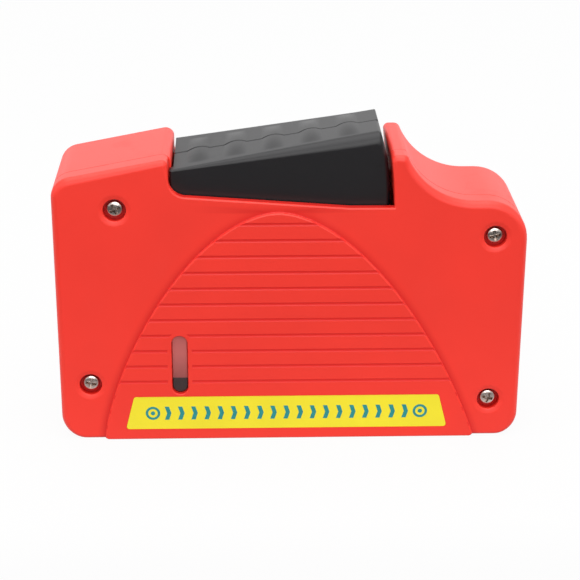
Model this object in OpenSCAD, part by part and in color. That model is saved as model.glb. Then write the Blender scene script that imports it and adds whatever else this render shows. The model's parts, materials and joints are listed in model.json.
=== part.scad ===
// Fibre optic cleaning cassette: a two-part case holding a reel of cleaning
// tape, a press lever that winds the tape on, and a shutter over the window
// in the base. X runs along the case, Y into its depth, Z up.

/* [Case] */
// Length of the case
case_w = 120; // [116:1:130]
// Depth of the case from cover face to back
case_d = 30; // [29:0.5:34]
// How far the ribbed panel stands proud of the cover
panel_proud = 0.8; // [0.5:0.1:1.2]
// Thickness of the case walls
case_wall = 2.2; // [1.8:0.1:2.4]
// Depth of the front cover, face to seam
cover_d = 6; // [5:0.5:8]
// Rounding of the cover and back edges
edge_r = 1.8; // [1:0.1:2]
// Height of the lever pivot above the base
pivot_z = 63; // [62:0.5:64]
// Height of the flat right shoulder
shoulder_z = 65.2; // [64:0.2:68]
// Height of the fin behind the lever
fin_z = 77.4; // [76:0.5:80]

/* [Lever] */
// Distance from the left end of the case to the lever pivot
pivot_from_left = 34; // [33:0.5:35]
// Distance from the right end of the case to the end of the lever
lever_end_inset = 34.2; // [34:0.1:35]
// Running gap between the lever and the case
lever_gap = 0.6; // [0.4:0.1:0.8]
// Wall of the lever shells
lever_wall = 1.8; // [1.4:0.1:2]
// Rise of the lever top above its pivot, at the pivot
lever_rise = 11.35; // [11:0.05:13]
// Slope of the lever top in degrees
lever_slope = 9.6; // [8:0.2:10]
// Number of grip humps on the lever
hump_count = 5; // [3:1:6]
// Diameter of the pivot pin
pivot_d = 3; // [2.5:0.1:3.2]

/* [Tape and reels] */
// Thickness of the shutter link, in the layer beside the reels
link_t = 1.3; // [1:0.1:1.5]
// Radius of the unused tape on the supply reel
supply_pack_r = 17; // [12:0.5:18]
// Radius of the used tape on the take-up reel
takeup_pack_r = 11; // [8:0.5:14]
// Radius of the supply reel flange
supply_flange_r = 21; // [19:0.5:21]
// Radius of the take-up reel flanges
takeup_flange_r = 20; // [18:0.5:20]
// Radius of both reel hubs
hub_r = 5; // [4.5:0.25:6]
// Diameter of the reel axles
axle_d = 4; // [3:0.1:4.4]
// Running clearance of pins in bores
running_gap = 0.06; // [0.02:0.01:0.1]
// Number of ratchet teeth
tooth_count = 10; // [10:1:12]

/* [Cleaning window] */
// Length of the cleaning slots
slot_l = 18; // [14:0.5:20]
// Width of each cleaning slot
slot_w = 3.4; // [2.5:0.1:3.6]
// Thickness of the shutter
shutter_t = 1.2; // [1:0.1:1.3]
// Reach of the shutter link from its pivot to the shutter
link_reach = 44.5; // [44:0.1:45]

/* [Front panel] */
// Height of the ribbed panel
panel_h = 62.9; // [58:0.5:63]
// Distance from each end of the case to the ribbed panel, at the base
panel_inset = 11.5; // [10:0.5:16]
// Number of grooves
groove_count = 11; // [6:1:12]
// Spacing of the grooves
groove_pitch = 4.33; // [4:0.05:4.4]
// Width of each groove
groove_w = 0.7; // [0.5:0.1:1]
// Width of the tape gauge window
gauge_w = 4.2; // [3:0.1:4.6]
// Length of the tape gauge window
gauge_l = 15.7; // [12:0.1:16]
// Height of the label
label_h = 9.2; // [7:0.1:9.4]
// Outer diameter of the case screw heads
screw_head_d = 4.2; // [3.6:0.1:4.4]

/* [Hidden] */

// Overrun of every cut past the face it opens
cut = 1;
// Facets of round parts and of the arcs in an outline
$fn = 48;
arc_steps = 10;

// Planes across the depth, measured from the middle of the case
mid_y = panel_proud / 2;
face_y = -case_d / 2;
back_y = case_d / 2;
seam_y = face_y + cover_d;
front_in_y = face_y + case_wall;
back_in_y = back_y - case_wall;
lever_out_y = case_d / 2 - case_wall - lever_gap;
lever_in_y = lever_out_y - lever_wall;
thin_gap = 0.4;
link_out_y = lever_in_y - thin_gap;
link_in_y = link_out_y - link_t;
flange_t = 1.2;
flange_out_y = link_in_y - thin_gap;
flange_in_y = flange_out_y - flange_t;
flange_gap = 0.6;
tape_y = flange_in_y - flange_gap;

// Places along and up the case
left_x = -case_w / 2;
right_x = case_w / 2;
pivot_x = left_x + pivot_from_left;
lever_reach = case_w - pivot_from_left - lever_end_inset;
block_offset = 4;
block_x = pivot_x - block_offset;
base_r = 6.5;
base_right_r = 6;
shoulder_r = 10.5;
valley_r = 18.7;
block_left_r = 5.5;
block_right_r = 1.5;
block_slope = 11;
block_z = 76.9;
tip_left_r = 1.4;
tip_right_r = 1.6;
notch_r = 4.5;
notch_z = 67.4;
notch_low_z = 64;
notch_turn = 266;
fin_gap = 0.8;
fin_wall_r = lever_reach + fin_gap;
tip_x = pivot_x + sqrt(pow(fin_wall_r + tip_left_r, 2) - pow(fin_z - tip_left_r - pivot_z, 2));
valley_z = shoulder_z + valley_r;
tip_w = 1.4;
tip_right_x = tip_x + tip_w;
tip_right_z = fin_z - tip_right_r;
valley_x = tip_right_x + sqrt(pow(valley_r + tip_right_r, 2) - pow(valley_z - tip_right_z, 2));

// Points along an arc about c, from angle a to angle b, less the last drop points
function arc(c, r, a, b, drop = 0) = r <= 0 ? [c] : [for (i = [0:arc_steps - drop])
  let (t = a + (b - a) * i / arc_steps) c + r * [cos(t), sin(t)]];
// Height of the sloping block top at x
function block_top(x) = block_z + (x - block_x) * tan(block_slope);
// Height of the lever top at rest at x
function lever_top(x) = pivot_z + lever_rise + (x - pivot_x) * tan(lever_slope);

// Lower corners and right shoulder, drawn in by d
function lower_points(d) = concat(
  arc([left_x + base_r, base_r], base_r - d, 180, 270),
  arc([right_x - base_right_r, base_right_r], base_right_r - d, 270, 360),
  arc([right_x - shoulder_r, shoulder_z - shoulder_r], shoulder_r - d, 0, 90));
// Left block with its sloping top, drawn in by d
function block_points(d) = concat(
  arc([block_x - block_right_r, block_top(block_x - block_right_r)
    - block_right_r / cos(block_slope)], max(block_right_r - d, 0), 0, 90 + block_slope),
  arc([left_x + block_left_r, block_top(left_x + block_left_r)
    - block_left_r / cos(block_slope)], block_left_r - d, 90 + block_slope, 180));
tip_angle = atan2(valley_z - tip_right_z, valley_x - tip_right_x);
tip_left_angle = atan2(fin_z - tip_left_r - pivot_z, tip_x - pivot_x);
notch_end_angle = asin((notch_low_z - pivot_z) / fin_wall_r);

// Side outline of the case, drawn in by d
function case_points(d) = concat(lower_points(d),
  arc([valley_x, valley_z], valley_r + d, 270, 180 + tip_angle, 1),
  arc([tip_right_x, tip_right_z], tip_right_r - d, tip_angle, 90),
  arc([tip_x, fin_z - tip_left_r], tip_left_r - d, 90, 180 + tip_left_angle, 1),
  arc([pivot_x, pivot_z], fin_wall_r + d, tip_left_angle, notch_end_angle),
  arc([block_x + notch_r, notch_z + notch_r], notch_r + d, notch_turn, 180),
  block_points(d));
fin_foot_angle = 236;
fin_foot = [pivot_x + fin_wall_r + case_wall, notch_low_z + case_wall];
// Side outline of the space inside the case
function room_points() = concat(lower_points(case_wall),
  arc([valley_x, valley_z], valley_r + case_wall, 270, fin_foot_angle),
  [fin_foot, [block_x - case_wall, notch_low_z + case_wall]],
  block_points(case_wall));

// Everything is placed about the middle of the overall depth
module in_frame() translate([0, mid_y, 0]) children();
// A flat side outline made solid from y = a to y = b
module slab(a, b) translate([0, b, 0]) rotate([90, 0, 0]) linear_extrude(b - a) children();
// A round pin along Y
module rod(p, r, a, b) translate([p[0], b, p[1]]) rotate([90, 0, 0]) cylinder(r = r, h = b - a);
// A block between two corners
module block(a, b) translate(a) cube(b - a);
// A ring along Y
module ring(p, r, bore, a, b) difference() {
  rod(p, r, a, b);
  rod(p, bore, a - cut, b + cut);
}
edge_shares = [0, 0.18, 0.45, 1];
edge_inset_shares = [0.6, 0.3, 0.07];
// The case outline with its outer edge rounded in steps, face towards -Y or +Y
module rounded_slab(a, b, face) {
  front = face < 0;
  slab(front ? a + edge_r : a, front ? b : b - edge_r) polygon(case_points(0));
  for (i = [0:len(edge_inset_shares) - 1]) {
    near = edge_shares[i] * edge_r;
    far = edge_shares[i + 1] * edge_r;
    slab(front ? a + near : b - far, front ? a + far : b - near)
      polygon(case_points(edge_inset_shares[i] * edge_r));
  }
}

// Case screws
screw_hole_gap = 0.8;
screw_hole_d = screw_head_d + 2 * screw_hole_gap;
screw_shank_d = 2.2;
screw_head_t = 1.5;
screw_sink = 1;
screw_l = 14;
boss_r = 3.6;
// How far each screw lies in from the end of the case, and its height
screw_insets = [15.8, 8, 8.3, 8];
screw_heights = [63.6, 15.6, 55.9, 10.4];
screw_places = [for (i = [0:3])
  [i < 2 ? left_x + screw_insets[i] : right_x - screw_insets[i], screw_heights[i]]];
screw_seat_y = face_y + screw_sink + screw_head_t;
screw_recess_d = 1.2;
screw_recess_w = 0.7;

// Reels
supply_inset = 31.3;
supply_height = 34;
takeup_inset = 31;
takeup_height = 32;
supply_at = [left_x + supply_inset, supply_height];
takeup_at = [right_x - takeup_inset, takeup_height];
axle_boss_r = 3.2;
small_flange_r = 7;
boss_gap = 0.2;
front_boss_y = -(link_out_y + boss_gap);
ratchet_out_y = boss_gap / 2 - link_out_y;
ratchet_in_y = -(flange_out_y + boss_gap);

// Ribbed panel outline: half width and lean at height z
panel_power_share = 1.25;
panel_root_share = 0.56;
panel_lean = 3.2;
panel_lean_share = 0.6;
panel_steps = 28;
panel_half_w = case_w / 2 - panel_inset;
function panel_half(z) = panel_half_w
  * pow(1 - pow(z / panel_h, panel_power_share), panel_root_share);
function panel_mid(z) = -panel_lean * pow(z / panel_h, panel_lean_share);
function panel_level(i) = panel_h * (1 - pow(1 - i / panel_steps, 2));
function panel_points() = concat(
  [for (i = [0:panel_steps]) let (z = panel_level(i)) [panel_mid(z) + panel_half(z), z]],
  [for (i = [panel_steps - 1:-1:0]) let (z = panel_level(i)) [panel_mid(z) - panel_half(z), z]]);

groove_depth = 0.35;
groove_margin = 0.6;
groove_drop = 2.93;
groove_top_z = panel_h - groove_drop;
gauge_height = 21.9;
gauge_at = [supply_at[0], gauge_height];
gauge_margin = 1.1;
lens_sink = 0.8;
lens_fit = 0.08;
lens_lip = 0.7;
lens_lip_t = 0.8;
label_t = 0.15;
label_low_z = 3;
label_mid_x = -1;
label_top_inset = 8.5;
label_low_inset = 6.5;
label_top_half_w = panel_half_w - label_top_inset;
label_low_half_w = panel_half_w - label_low_inset;
label_r = 1;
panel_y = face_y - panel_proud;

// A flat shape with round ends, long side up
module round_bar(p, w, l) {
  for (s = [-1, 1]) translate([p[0], p[1] + s * (l - w) / 2]) circle(d = w);
  translate([p[0] - w / 2, p[1] - (l - w) / 2]) square([w, l - w]);
}
module label_outline() polygon(concat(
  arc([label_mid_x - label_low_half_w + label_r, label_low_z + label_r], label_r, 180, 270),
  arc([label_mid_x + label_low_half_w - label_r, label_low_z + label_r], label_r, 270, 360),
  arc([label_mid_x + label_top_half_w - label_r, label_low_z + label_h - label_r], label_r, 0, 90),
  arc([label_mid_x - label_top_half_w + label_r, label_low_z + label_h - label_r], label_r, 90, 180)));

// One groove, stopping short of the panel edge and of the gauge window
module groove(z) {
  reach = panel_half(z + groove_w / 2) - groove_margin;
  difference() {
    block([panel_mid(z) - reach, panel_y - cut, z - groove_w / 2],
      [panel_mid(z) + reach, panel_y + groove_depth, z + groove_w / 2]);
    slab(panel_y - 2 * cut, panel_y + 2 * cut)
      round_bar(gauge_at, gauge_w + 2 * gauge_margin, gauge_l + 2 * gauge_margin);
  }
}

// Space for the lever at the top of the case
bay_depth = 4.2;
bay_inset = 2.4;
bay_low_z = notch_low_z - bay_depth;
bay_right_x = pivot_x + lever_reach - bay_inset;
module lever_bay(near_y, far_y)
  block([block_x, near_y, bay_low_z], [bay_right_x, far_y, fin_z]);

// Window in the base, with the shutter track above it
seam_rail_w = 0.7;
rail_y = -seam_y - seam_rail_w;
shutter_gap = 0.3;
shutter_half_l = 13.5;
shutter_half_w = rail_y - shutter_gap;
shutter_lap = 0.5;
base_open_half_l = shutter_half_l - shutter_lap;
base_open_half_w = shutter_half_w - shutter_lap;
module base_window() block([-base_open_half_l, -base_open_half_w, -cut],
  [base_open_half_l, base_open_half_w, case_wall + cut]);

module front_cover() in_frame() color("red") {
  difference() {
    union() {
      rounded_slab(face_y, seam_y, -1);
      slab(panel_y, face_y + edge_r) intersection() {
        polygon(panel_points());
        translate([left_x, edge_r / 2]) square([case_w, panel_h]);
      }
    }
    slab(front_in_y, seam_y + cut) polygon(room_points());
    lever_bay(front_in_y, seam_y + cut);
    for (p = screw_places) {
      rod(p, screw_hole_d / 2, face_y - cut, screw_seat_y);
      rod(p, screw_shank_d / 2 + running_gap, face_y, seam_y + cut);
    }
    slab(panel_y - cut, front_in_y + cut) round_bar(gauge_at, gauge_w, gauge_l);
    slab(panel_y - cut, panel_y + label_t) label_outline();
    for (i = [0:groove_count - 1]) groove(groove_top_z - i * groove_pitch);
  }
  for (p = screw_places) difference() {
    rod(p, boss_r, front_in_y, seam_y);
    rod(p, screw_hole_d / 2, front_in_y - cut, screw_seat_y);
    rod(p, screw_shank_d / 2 + running_gap, front_in_y, seam_y + cut);
  }
  for (p = [supply_at, takeup_at])
    ring(p, axle_boss_r, axle_d / 2 + running_gap, front_in_y, front_boss_y);
  ring([pivot_x, pivot_z], pivot_d, pivot_d / 2 + running_gap, front_in_y, -lever_out_y - boss_gap / 2);
  block([spring_clamp_x, front_in_y, spring_clamp_z],
    [spring_clamp_x + clamp_size, ratchet_out_y - leaf_t, spring_clamp_z + clamp_size]);
}

// Spring seat in the middle of the case, on a shelf from the back
shelf_x = -1.5;
shelf_w = 11;
shelf_drop = 5;
shelf_z = pivot_z - shelf_drop;
shelf_t = 2;
shelf_y = -5;
rail_half_l = 18;
rail_open_half_l = 14.5;
rail_w = 0.6;
plate_z = case_wall + shutter_t + 2 * shutter_gap;
link_height = 50;
link_at = [0, link_height];

module rear_shell() in_frame() color("firebrick") {
  difference() {
    rounded_slab(seam_y, back_y, 1);
    slab(seam_y - cut, back_in_y) polygon(room_points());
    lever_bay(seam_y - cut, back_in_y);
    base_window();
  }
  for (p = screw_places) ring(p, boss_r, screw_shank_d / 2 + running_gap, seam_y, back_in_y);
  for (p = [supply_at, takeup_at])
    ring(p, axle_boss_r, axle_d / 2 + running_gap, link_in_y, back_in_y);
  ring(link_at, axle_boss_r, link_pin_d / 2 + running_gap, link_out_y + boss_gap / 2, back_in_y);
  ring([pivot_x, pivot_z], pivot_d, pivot_d / 2 + running_gap, lever_out_y + boss_gap / 2, back_in_y);
  block([shelf_x - shelf_w / 2, shelf_y, shelf_z - shelf_t],
    [shelf_x + shelf_w / 2, back_in_y, shelf_z]);
  block([-rail_half_l, seam_y, case_wall], [rail_half_l, -rail_y, plate_z]);
  for (s = [-1, 1]) block([s > 0 ? rail_open_half_l : -rail_half_l, rail_y, case_wall],
    [s > 0 ? rail_half_l : -rail_open_half_l, rail_y + rail_w, plate_z]);
  block([brake_foot[0] - clamp_size / 2, flange_out_y, brake_foot[1] - clamp_size],
    [brake_foot[0] + clamp_size / 2, back_in_y, brake_foot[1]]);
}

module case_screws() in_frame() color("silver") for (p = screw_places) difference() {
  union() {
    rod(p, screw_head_d / 2, screw_seat_y - screw_head_t, screw_seat_y);
    rod(p, screw_shank_d / 2, screw_seat_y, screw_seat_y + screw_l);
  }
  for (turn = [0, 90]) translate([p[0], screw_seat_y - screw_head_t, p[1]]) rotate([0, turn, 0])
    translate([-screw_recess_d, -cut, -screw_recess_w / 2])
      cube([2 * screw_recess_d, cut + screw_head_t / 2, screw_recess_w]);
}

module window_lens() in_frame() color("mistyrose") {
  slab(panel_y + lens_sink, front_in_y)
    round_bar(gauge_at, gauge_w - 2 * lens_fit, gauge_l - 2 * lens_fit);
  slab(front_in_y, front_in_y + lens_lip_t)
    round_bar(gauge_at, gauge_w + 2 * lens_lip, gauge_l + 2 * lens_lip);
}

module label() in_frame() color("yellow") slab(panel_y, panel_y + label_t) label_outline();

// Lever side profile
lever_left_x = block_x + lever_gap;
lever_hub_r = 3.4;
lever_arch_rise = 6.2;
lever_arch_z = shelf_z + lever_arch_rise;
ear_low_z = 51;
ear_w = 8;
lever_top_r = 1;
end_bend_angle = 15;
end_low_angle = 4;
post_angle = 14.2;
post_r = 1.1;
post_reach = 12.7;
post_at = link_at + post_reach * [cos(post_angle), sin(post_angle)];
post_ear_lead = 3.3;
post_ear_x = post_at[0] - post_ear_lead;
pawl_inset = 44;
pawl_height = 56;
pawl_at = [right_x - pawl_inset, pawl_height];
pawl_ear_share = 0.44;
pawl_ear_x = pawl_at[0] - pawl_ear_share * ear_w;
pawl_pin_r = 1;

// Grip humps: low mounds across the lever, each a round bar with bowed sides
hump_half_w = 2.9;
hump_side_gap = 3;
hump_half_l = lever_out_y - hump_side_gap;
hump_h = 0.7;
hump_root = 0.1;
hump_facets = 240;
first_hump_offset = 1;
last_hump_inset = 11.9;
first_hump_x = pivot_x + first_hump_offset;
hump_pitch = (lever_reach - first_hump_offset - last_hump_inset) / (hump_count - 1);
// Radius of the arc that rises by h over the half width w
function bow_r(w, h) = (w * w + h * h) / (2 * h);
hump_r = bow_r(hump_half_w, hump_h);
hump_bow_r = bow_r(hump_half_l, hump_h);
module hump() translate([0, 0, hump_h - hump_r]) rotate([90, 0, 0]) rotate_extrude() intersection() {
  translate([hump_r - hump_bow_r, 0]) circle(r = hump_bow_r, $fn = hump_facets);
  translate([0, -hump_half_l]) square([hump_r, 2 * hump_half_l]);
}

// Centre of a corner of radius r between the lever top and the straight of its end
end_slope = end_bend_angle - lever_slope;
function end_corner(r) = [pivot_x, pivot_z]
  + (lever_reach - r) * [cos(end_bend_angle), sin(end_bend_angle)]
  + (lever_rise * cos(lever_slope) - r - (lever_reach - r) * sin(end_slope)) / cos(end_slope)
  * [-sin(end_bend_angle), cos(end_bend_angle)];
// Closed upper outline of the lever, drawn in by d
function lever_points(d) = concat(
  [[lever_left_x + d, pivot_z], [lever_left_x + d, lever_top(lever_left_x + d) - d / cos(lever_slope)]],
  arc(end_corner(max(lever_top_r, d)), lever_top_r - d, 90 + lever_slope, end_bend_angle),
  arc([pivot_x, pivot_z], lever_reach - d, end_bend_angle, -end_low_angle));
lever_foot = pivot_z - lever_reach * sin(end_low_angle);

// One side wall, with the ear that reaches down past the arch
module lever_side(ear_x, ear_w, ear_z) {
  polygon(concat(lever_points(0), [[ear_x + ear_w, lever_foot], [ear_x + ear_w, ear_z],
    [ear_x, ear_z], [ear_x, lever_arch_z], [pivot_x + lever_hub_r, lever_arch_z],
    [pivot_x + lever_hub_r, pivot_z]]));
  translate([pivot_x, pivot_z]) circle(r = lever_hub_r - lever_gap);
}
// One half of the lever, split along its middle; side is -1 for the front one
module lever_half(side, ear_x, ear_w, ear_z) {
  outer = side * lever_out_y;
  inner = side * lever_in_y;
  difference() {
    union() {
      slab(min(outer, inner), max(outer, inner)) lever_side(ear_x, ear_w, ear_z);
      slab(min(outer, 0), max(outer, 0)) difference() {
        polygon(lever_points(0));
        polygon(lever_points(lever_wall));
        translate([left_x, 0]) square([case_w, lever_arch_z]);
      }
      intersection() {
        for (i = [0:hump_count - 1]) {
          x = first_hump_x + i * hump_pitch;
          translate([x, 0, lever_top(x)]) rotate([0, -lever_slope, 0]) hump();
        }
        translate([pivot_x, min(outer, 0), lever_top(pivot_x)]) rotate([0, -lever_slope, 0])
          translate([-block_offset, 0, -hump_root]) cube([lever_reach, lever_out_y, lever_wall]);
      }
    }
    rod([pivot_x, pivot_z], pivot_d / 2 + running_gap, -back_y, back_y);
  }
}

module lever_front_half() in_frame() color("#2a2a2c") difference() {
  lever_half(-1, pawl_ear_x, ear_w, ear_low_z);
  rod(pawl_at, pawl_pin_r, -back_y, 0);
}
module lever_rear_half() in_frame() color("#2a2a2c") {
  lever_half(1, post_ear_x, ear_w, ear_low_z);
  rod(post_at, post_r, link_in_y, lever_in_y);
}
module lever_pin() in_frame() color("silver")
  rod([pivot_x, pivot_z], pivot_d / 2, front_in_y, back_in_y);

// Return spring: one wire wound up from the shelf to the lever
coil_turns = 7;
coil_wire_r = 0.4;
coil_r = 3.2;
coil_sides = 6;
coil_rings = 12;
coil_end_gap = 0.3;
coil_low_z = shelf_z + coil_wire_r + coil_end_gap / 2;
coil_high_z = lever_top(shelf_x - coil_r) - 1.5 * lever_wall - coil_end_gap;
function coil_point(i, j) = let (
  n = coil_turns * coil_rings,
  a = 360 * i / coil_rings,
  w = 360 * j / coil_sides,
  r = coil_r + coil_wire_r * cos(w))
  [shelf_x + r * cos(a), r * sin(a),
    coil_low_z + (coil_high_z - coil_low_z) * i / n + coil_wire_r * sin(w)];
module lever_spring() in_frame() color("lightgrey") {
  n = coil_turns * coil_rings;
  points = [for (i = [0:n], j = [0:coil_sides - 1]) coil_point(i, j)];
  walls = [for (i = [0:n - 1], j = [0:coil_sides - 1]) let (
    k = (j + 1) % coil_sides, a = i * coil_sides, b = a + coil_sides)
    each [[a + j, b + j, b + k], [a + j, b + k, a + k]]];
  ends = [[for (j = [0:coil_sides - 1]) j],
    [for (j = [coil_sides - 1:-1:0]) n * coil_sides + j]];
  polyhedron(points, concat(walls, ends));
}

// Ratchet, pawl and leaf springs
ratchet_r = 10.2;
tooth_h = 2;
tooth_phase = 173;
leaf_t = 0.5;
clamp_size = 4;
ratchet_gap = 0.35;
click_angle = 45;
clamp_offset = [13, 8];
spring_clamp_x = takeup_at[0] + clamp_offset[0];
spring_clamp_z = takeup_at[1] + clamp_offset[1];
module ratchet_wheel() in_frame() color("white") slab(ratchet_out_y, ratchet_in_y) difference() {
  translate(takeup_at) polygon([for (i = [0:tooth_count - 1], s = [0, 1])
    let (a = tooth_phase + 360 * i / tooth_count)
    s == 0 ? (ratchet_r - tooth_h) * [cos(a), sin(a)] : ratchet_r * [cos(a), sin(a)]]);
  translate(takeup_at) circle(r = hub_r);
}

pawl_w = 2.4;
pawl_foot_rise = 1.4;
pawl_foot_z = takeup_at[1] + pawl_foot_rise;
pawl_tip_h = 2.2;
pawl_bite = 1;
pawl_tip_x = takeup_at[0] - ratchet_r + pawl_bite;
module drive_pawl() in_frame() color("ivory") slab(ratchet_out_y, ratchet_in_y) difference() {
  union() {
    translate(pawl_at) circle(r = pawl_w);
    translate([pawl_at[0] - pawl_w / 2, pawl_foot_z]) square([pawl_w, pawl_at[1] - pawl_foot_z]);
    polygon([[pawl_at[0], pawl_foot_z], [pawl_tip_x, pawl_foot_z + ratchet_gap],
      [pawl_tip_x, pawl_foot_z + pawl_tip_h / 2], [pawl_at[0], pawl_foot_z + 2 * pawl_tip_h]]);
  }
  translate(pawl_at) circle(r = pawl_pin_r + running_gap);
}
module pawl_pin() in_frame() color("silver") rod(pawl_at, pawl_pin_r, -lever_out_y, ratchet_in_y);

module click_spring() in_frame() color("lightsteelblue") {
  tip = takeup_at + (ratchet_r + ratchet_gap + leaf_t) * [cos(click_angle), sin(click_angle)];
  foot = [spring_clamp_x, spring_clamp_z + clamp_size];
  slab(ratchet_out_y, ratchet_in_y) polygon([tip, foot, foot + [clamp_size / 2, 0],
    foot + [clamp_size / 2, leaf_t], foot + [0, leaf_t], tip + [0, leaf_t]]);
  block([foot[0], ratchet_out_y - leaf_t, foot[1] - clamp_size],
    [foot[0] + clamp_size, ratchet_in_y, foot[1] + leaf_t]);
}

brake_angle = 205;
brake_gap = 0.3;
brake_half_angle = 14;
brake_foot = supply_at + (supply_flange_r + brake_gap + leaf_t) * [cos(brake_angle), sin(brake_angle)];
brake_from = brake_angle - brake_half_angle;
brake_to = brake_angle + brake_half_angle;
module supply_brake() in_frame() color("lightsteelblue") slab(flange_in_y, flange_out_y)
  polygon(concat(arc(supply_at, supply_flange_r + brake_gap, brake_from, brake_to),
    arc(supply_at, supply_flange_r + brake_gap + 2 * leaf_t, brake_to, brake_from)));

module reel(p, flange_r, front_r) {
  ring(p, hub_r, axle_d / 2 + running_gap, -flange_out_y, flange_out_y);
  ring(p, flange_r, axle_d / 2 + running_gap, flange_in_y, flange_out_y);
  ring(p, front_r, axle_d / 2 + running_gap, -flange_out_y, -flange_in_y);
}
module takeup_reel() in_frame() color("white") {
  reel(takeup_at, takeup_flange_r, takeup_flange_r);
  ring(takeup_at, hub_r - running_gap, axle_d / 2 + running_gap, ratchet_out_y, -flange_out_y);
}
module supply_reel() in_frame() color("#303030")
  reel(supply_at, supply_flange_r, small_flange_r);
module takeup_tape() in_frame() color("whitesmoke")
  ring(takeup_at, takeup_pack_r, hub_r, -tape_y, tape_y);
module supply_tape() in_frame() color("whitesmoke")
  ring(supply_at, supply_pack_r, hub_r, -tape_y, tape_y);
module takeup_axle() in_frame() color("silver")
  rod(takeup_at, axle_d / 2, front_in_y, back_in_y);
module supply_axle() in_frame() color("silver")
  rod(supply_at, axle_d / 2, front_in_y, back_in_y);

// Tape path under the pad
tape_t = 0.25;
slot_plate_t = 1.2;
tape_gap = 0.35;
tape_z = plate_z + slot_plate_t + tape_gap;
pin_r = 1.6;
pin_x = 16.5;
pin_gap = 0.1;
pack_gap = 0.25;
pin_places = [[-pin_x, tape_z + tape_t + pin_gap + pin_r],
  [pin_x, tape_z + tape_t + pin_gap + pin_r]];
// Direction in which the tape stands off both circles of a straight run
function run_angle(a, ra, b, rb, s) = atan2(b[1] - a[1], b[0] - a[0])
  - s * acos((ra - rb) / norm(b - a));
function tape_side(grow) = let (
  rp = pin_r + pin_gap + grow,
  ls = run_angle(supply_at, supply_pack_r, pin_places[0], pin_r, 1),
  rs = run_angle(takeup_at, takeup_pack_r, pin_places[1], pin_r, -1))
  concat([supply_at + (supply_pack_r + pack_gap + grow) * [cos(ls), sin(ls)]],
    arc(pin_places[0], rp, ls, -90), arc(pin_places[1], rp, -90, rs + (rs > 90 ? -360 : 0)),
    [takeup_at + (takeup_pack_r + pack_gap + grow) * [cos(rs), sin(rs)]]);
module cleaning_tape() in_frame() color("white") slab(-tape_y, tape_y)
  polygon(concat(tape_side(0), [for (i = [len(tape_side(0)) - 1:-1:0]) tape_side(tape_t)[i]]));
module guide_pin(i) rod(pin_places[i], pin_r, seam_y, back_in_y);
module guide_pin_left() in_frame() color("silver") guide_pin(0);
module guide_pin_right() in_frame() color("silver") guide_pin(1);

pad_half_l = 10;
pad_half_w = tape_y;
pad_t = 2.6;
pad_gap = 0.3;
pad_z = tape_z + tape_t + pad_gap;
holder_half_l = 12;
holder_lip = 1.9;
holder_half_w = tape_y + holder_lip;
holder_t = 2.4;
leg_w = 0.9;
slot_plate_half_l = 16;
slot_side_share = 0.554;
slot_y = slot_side_share * tape_y;
module cleaning_pad() in_frame() color("dimgray")
  block([-pad_half_l, -pad_half_w, pad_z], [pad_half_l, pad_half_w, pad_z + pad_t]);
module pad_holder() in_frame() color("gainsboro") {
  block([-holder_half_l, -holder_half_w, pad_z + pad_t],
    [holder_half_l, holder_half_w, pad_z + pad_t + holder_t]);
  for (s = [-1, 1]) block([-holder_half_l, s < 0 ? -holder_half_w : holder_half_w - leg_w, plate_z
    + slot_plate_t], [holder_half_l, s < 0 ? leg_w - holder_half_w : holder_half_w, pad_z + pad_t]);
}
module slot_plate() in_frame() color("black") difference() {
  block([-slot_plate_half_l, seam_y, plate_z],
    [slot_plate_half_l, rail_y + boss_gap, plate_z + slot_plate_t]);
  for (s = [-1, 1]) block([-slot_l / 2, s * slot_y - slot_w / 2, plate_z - cut],
    [slot_l / 2, s * slot_y + slot_w / 2, plate_z + slot_plate_t + cut]);
}

// Shutter and its link
shutter_z = case_wall + shutter_gap;
tip_r = 1.2;
tab_x = link_reach * sin(post_angle);
tip_gap = 0.2;
fork_gap = tip_r + tip_gap;
fork_wall = 1.4;
fork_z = 8.2;
link_pin_d = 2.4;
link_hub_r = 4;
link_arm_w = 5;
neck_w = 1.1;
neck_l = 6;
post_gap = 0.45;
arm_slot_w = 2 * (post_r + post_gap);
arm_slot_l = 7.5;
arm_slot_shift = 1;
arm_end_r = 3.1;
module shutter() in_frame() color("#303032") {
  block([-shutter_half_l, -shutter_half_w, shutter_z],
    [shutter_half_l, shutter_half_w, shutter_z + shutter_t]);
  block([tab_x - fork_gap - fork_wall, shutter_half_w - running_gap, shutter_z],
    [tab_x + fork_gap + fork_wall, link_out_y, shutter_z + shutter_t]);
  for (s = [-1, 1]) block([tab_x + (s < 0 ? -fork_gap - fork_wall : fork_gap), link_in_y,
    shutter_z], [tab_x + (s < 0 ? -fork_gap : fork_gap + fork_wall), link_out_y, fork_z]);
}
module shutter_link() in_frame() color("ivory") slab(link_in_y, link_out_y)
  translate(link_at) difference() {
    union() {
      circle(r = link_hub_r);
      rotate(post_angle) {
        translate([-link_arm_w / 2, neck_l - link_reach]) square([link_arm_w, link_reach - neck_l]);
        translate([-neck_w / 2, -link_reach]) square([neck_w, link_reach]);
        translate([0, -link_reach]) circle(r = tip_r);
        translate([0, -arm_end_r]) square([post_reach, 2 * arm_end_r]);
        translate([post_reach, 0]) circle(r = arm_end_r);
      }
    }
    circle(r = link_pin_d / 2 + running_gap);
    rotate([0, 0, post_angle - 90]) round_bar([0, post_reach - arm_slot_shift], arm_slot_w, arm_slot_l);
  }
module link_pin() in_frame() color("silver") {
  rod(link_at, link_pin_d / 2, link_in_y - thin_gap, back_in_y);
  rod(link_at, link_pin_d, link_in_y - thin_gap, link_in_y - thin_gap / 4);
}

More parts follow.
